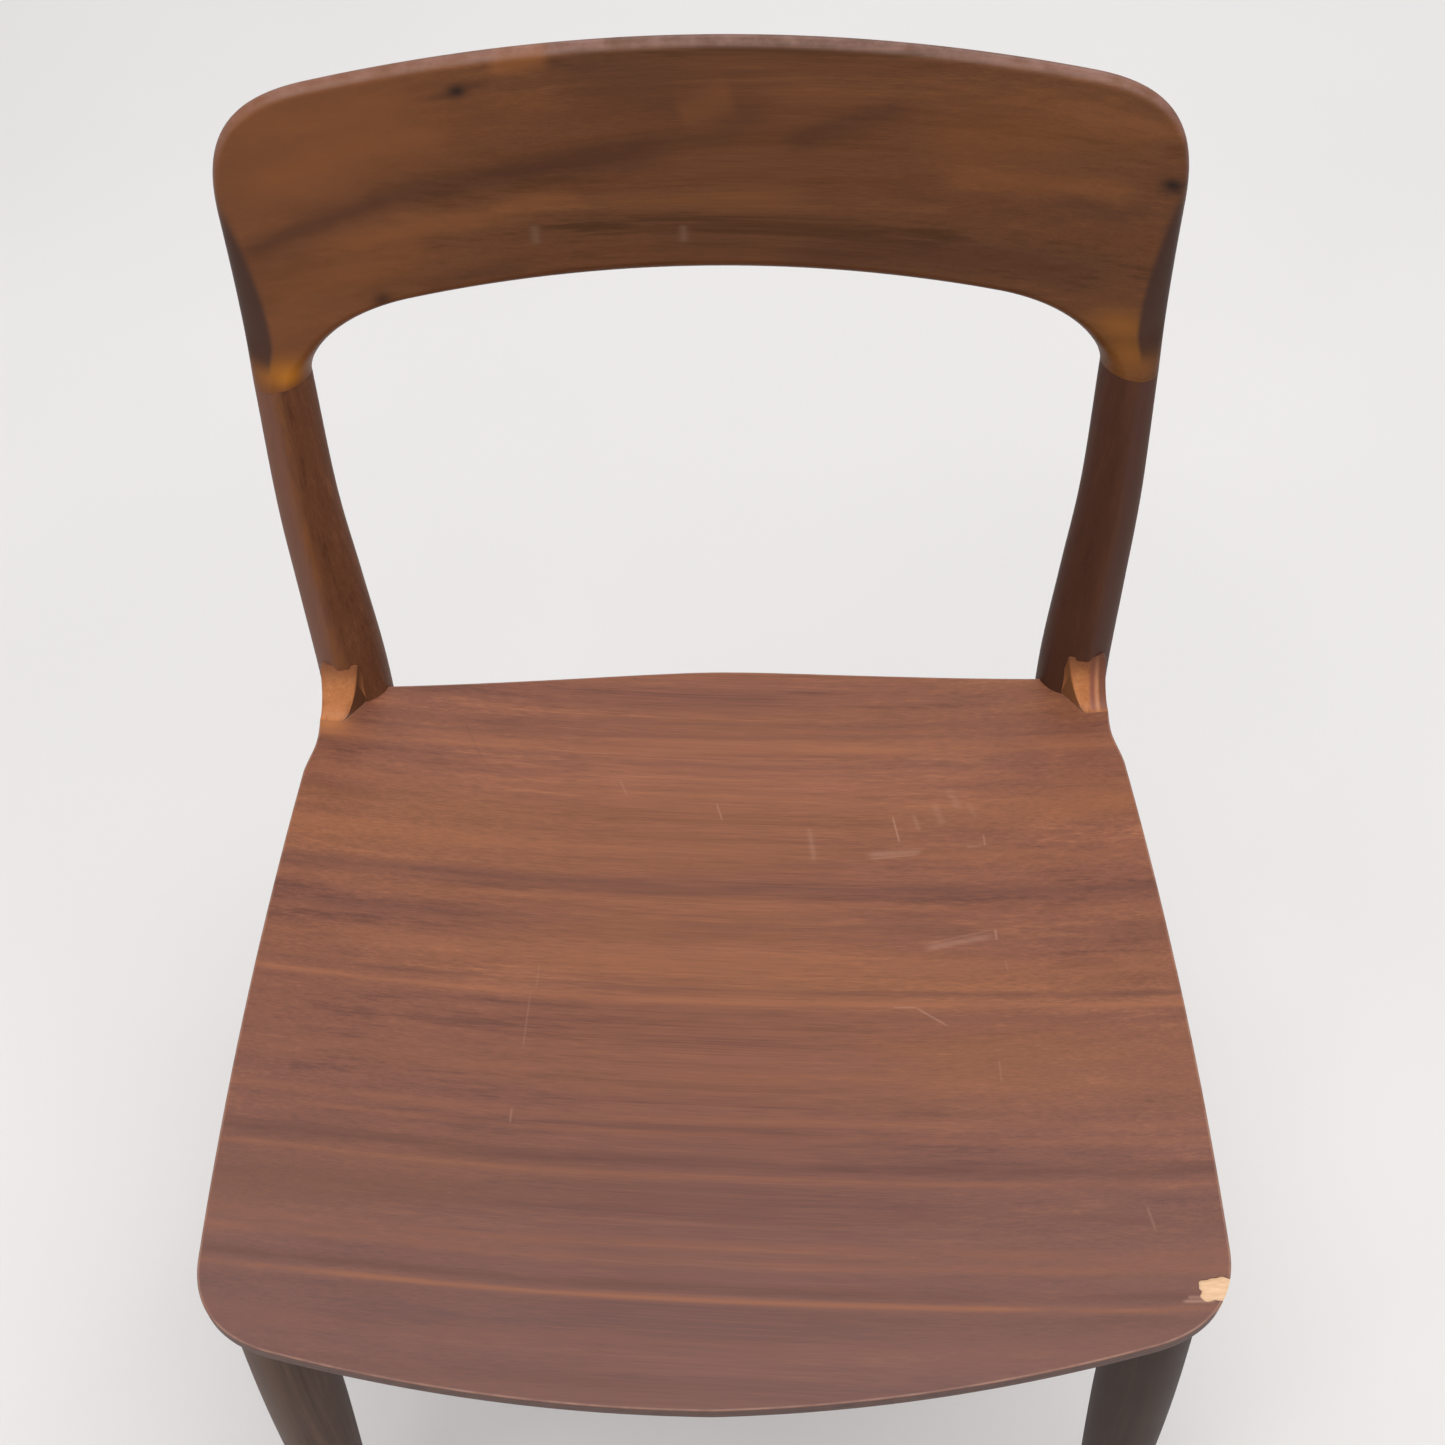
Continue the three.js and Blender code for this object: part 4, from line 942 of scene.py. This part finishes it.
def build_frame_pieces():
    leg_front = front_leg("front_leg_right_shape")
    leg_rear = rear_leg("rear_leg_right_shape")
    leg_front_left = mirror_copy(leg_front, "front_leg_left_shape")
    leg_rear_left = mirror_copy(leg_rear, "rear_leg_left_shape")
    crest = crest_rail("crest_rail_shape")
    side = cope(side_rail("side_rail_right_shape"), leg_front, leg_rear)
    side_left = mirror_copy(side, "side_rail_left_shape")
    rail_front = cope(cross_rail("front_rail_shape", FRONT_RAIL), leg_front, leg_front_left)
    rail_rear = cope(cross_rail("rear_rail_shape", REAR_RAIL), leg_rear, leg_rear_left)

    # Both woods paint light on each piece's outer side and shade on the right of the chair.
    post_wood = wood("post_wood", 2, "553321", "653e29", "764a32", sizes=(16.0, 5.0, 1.6), seed=3.0,
                     roughness=0.55, specular=0.1, more=leg_tones("84522a", "775244", "3a231d", 0.7))
    leg_wood = wood("leg_wood", 2, "3e2a20", "4b352a", "5a4234", sizes=(16.0, 5.0, 1.6), seed=3.0,
                    roughness=0.55, specular=0.1, more=leg_tones("5c412c", "5a443a", "251814", 0.68))
    rail_wood = wood("rail_wood", 1, "9c6036", "b57345", "c68453", sizes=(16.0, 5.0, 1.6), seed=9.0,
                     roughness=0.5, specular=0.2, fibre=0.4, more=horn_tones)
    cross_wood = wood("cross_rail_wood", 0, "5d3c2a", "7a5037", "946444", sizes=(16.0, 5.0, 1.6),
                      seed=4.0, coat=0.2, edge_wear_and_highlight="a98563")
    dress(leg_front, leg_wood, "front_leg_right")
    dress(leg_front_left, leg_wood, "front_leg_left")
    dress(leg_rear, post_wood, "rear_leg_right")
    dress(leg_rear_left, post_wood, "rear_leg_left")
    dress(crest, crest_face("crest_wood"), "crest_rail")
    dress(side, rail_wood, "side_rail_right")
    dress(side_left, rail_wood, "side_rail_left")
    dress(rail_front, cross_wood, "front_rail")
    dress(rail_rear, cross_wood, "rear_rail")
    return leg_rear, leg_rear_left


def build_seat(*posts):
    veneer, thickness = SEAT.veneer, SEAT.thickness
    cutter = chip_cutter("chip_cutter")
    top = cope(seat_layer("seat_top_shape", 0.0, veneer), cutter, *posts)
    bpy.data.objects.remove(cutter)
    core_top = veneer + SEAT.layer_gap
    core = cope(seat_layer("seat_core_shape", core_top, thickness - core_top), *posts)
    under = cope(seat_layer("seat_underside_shape", thickness - veneer, thickness), *posts)
    face = seat_face("seat_face")
    underside = wood("seat_underside", 0, "6b4534", "825540", "976649", sizes=(34.0, 9.0, 2.0), seed=6.0,
                     slope=-0.03, roughness=0.55)
    dress(top, face, "seat_top_veneer")
    dress(core, ply_edge("ply_edge"), "seat_core")
    dress(under, underside, "seat_underside_veneer")


def finish_cad_nodes():
    """The CAD solids that stay: blocks, dowels, screws and glides get their materials and soft edges."""
    beech, steel, nylon = bare_wood("beech"), plated_steel("plated_steel"), dark_nylon("dark_nylon")
    for name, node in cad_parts.items():
        if node.hide_render:
            continue
        finish = steel if "screw" in name else nylon if "glide" in name else beech
        node.data.materials.clear()
        node.data.materials.append(finish)
        if "block" in name and "screw" not in name:
            soft = node.modifiers.new("soft_edges", "BEVEL")
            soft.width = BLOCK_EDGE * MM
            soft.segments = 2
            soft.limit_method = "ANGLE"


# ------------------------------------------------------------------ stage, light and camera

STUDIO = Dims(floor_size=14.0, sky=(0.93, 0.95, 1.0, 1.0), sky_power=0.55, aim=(0.0, 0.0, 0.45))
CAMERA = Dims(x=20.5, y=-543.6, z=1442.4, yaw=-1.204, pitch=53.895, roll=-1.626, lens=53.99, sensor=36.0)


def add_camera():
    data = bpy.data.cameras.new("camera")
    data.sensor_width = CAMERA.sensor
    data.lens = CAMERA.lens
    camera = bpy.data.objects.new("camera", data)
    bpy.context.scene.collection.objects.link(camera)
    yaw, pitch, roll = (math.radians(a) for a in (CAMERA.yaw, CAMERA.pitch, CAMERA.roll))
    ahead = Vector((math.sin(yaw) * math.cos(pitch), math.cos(yaw) * math.cos(pitch), -math.sin(pitch)))
    right = Vector((math.cos(yaw), -math.sin(yaw), 0.0))
    up = right.cross(ahead)
    right_rolled = right * math.cos(roll) + up * math.sin(roll)
    up_rolled = up * math.cos(roll) - right * math.sin(roll)
    turn = Matrix((right_rolled, up_rolled, -ahead)).transposed()
    place = Vector((CAMERA.x, CAMERA.y + SHIFT, CAMERA.z)) * MM
    camera.matrix_world = Matrix.Translation(place) @ turn.to_4x4()
    bpy.context.scene.camera = camera


def add_area_light(name, place, target, size, power, tint):
    data = bpy.data.lights.new(name, "AREA")
    data.shape = "RECTANGLE"
    data.size, data.size_y = size
    data.energy = power
    data.color = tint
    lamp = bpy.data.objects.new(name, data)
    bpy.context.scene.collection.objects.link(lamp)
    lamp.location = place
    lamp.rotation_euler = (Vector(target) - Vector(place)).to_track_quat("-Z", "Y").to_euler()


def add_stage():
    bpy.ops.mesh.primitive_plane_add(size=STUDIO.floor_size, location=(0.0, 0.0, 0.0))
    floor = bpy.context.object
    floor.name = "floor"
    look = Look("pale_floor")
    cloud = look.noise(look.position, (700.0, 700.0, 700.0), 3.0, 0.5, 1.0)
    base = look.mix(cloud, colour("dcdad8"), colour("e6e4e2"))
    floor.data.materials.append(look.finish(base, 0.8, look.noise(look.position, (1.5,) * 3), 0.05, 0.1))

    world = bpy.data.worlds.new("studio")
    world.use_nodes = True
    background = world.node_tree.nodes["Background"]
    background.inputs[0].default_value = STUDIO.sky
    background.inputs[1].default_value = STUDIO.sky_power
    bpy.context.scene.world = world
    bpy.context.scene.view_settings.view_transform = "Standard"

    aim = STUDIO.aim
    add_area_light("ceiling", (0.2, -0.3, 3.0), aim, (2.4, 2.4), 55.0, (1.0, 0.98, 0.95))
    add_area_light("front_left", (-1.6, -2.2, 2.0), aim, (1.6, 1.2), 18.0, (1.0, 0.98, 0.96))
    add_area_light("behind", (0.6, 2.4, 2.4), (0.0, 0.2, 0.7), (2.2, 0.8), 20.0, (1.0, 0.98, 0.97))


posts = build_frame_pieces()
build_seat(*posts)
finish_cad_nodes()
add_stage()
add_camera()
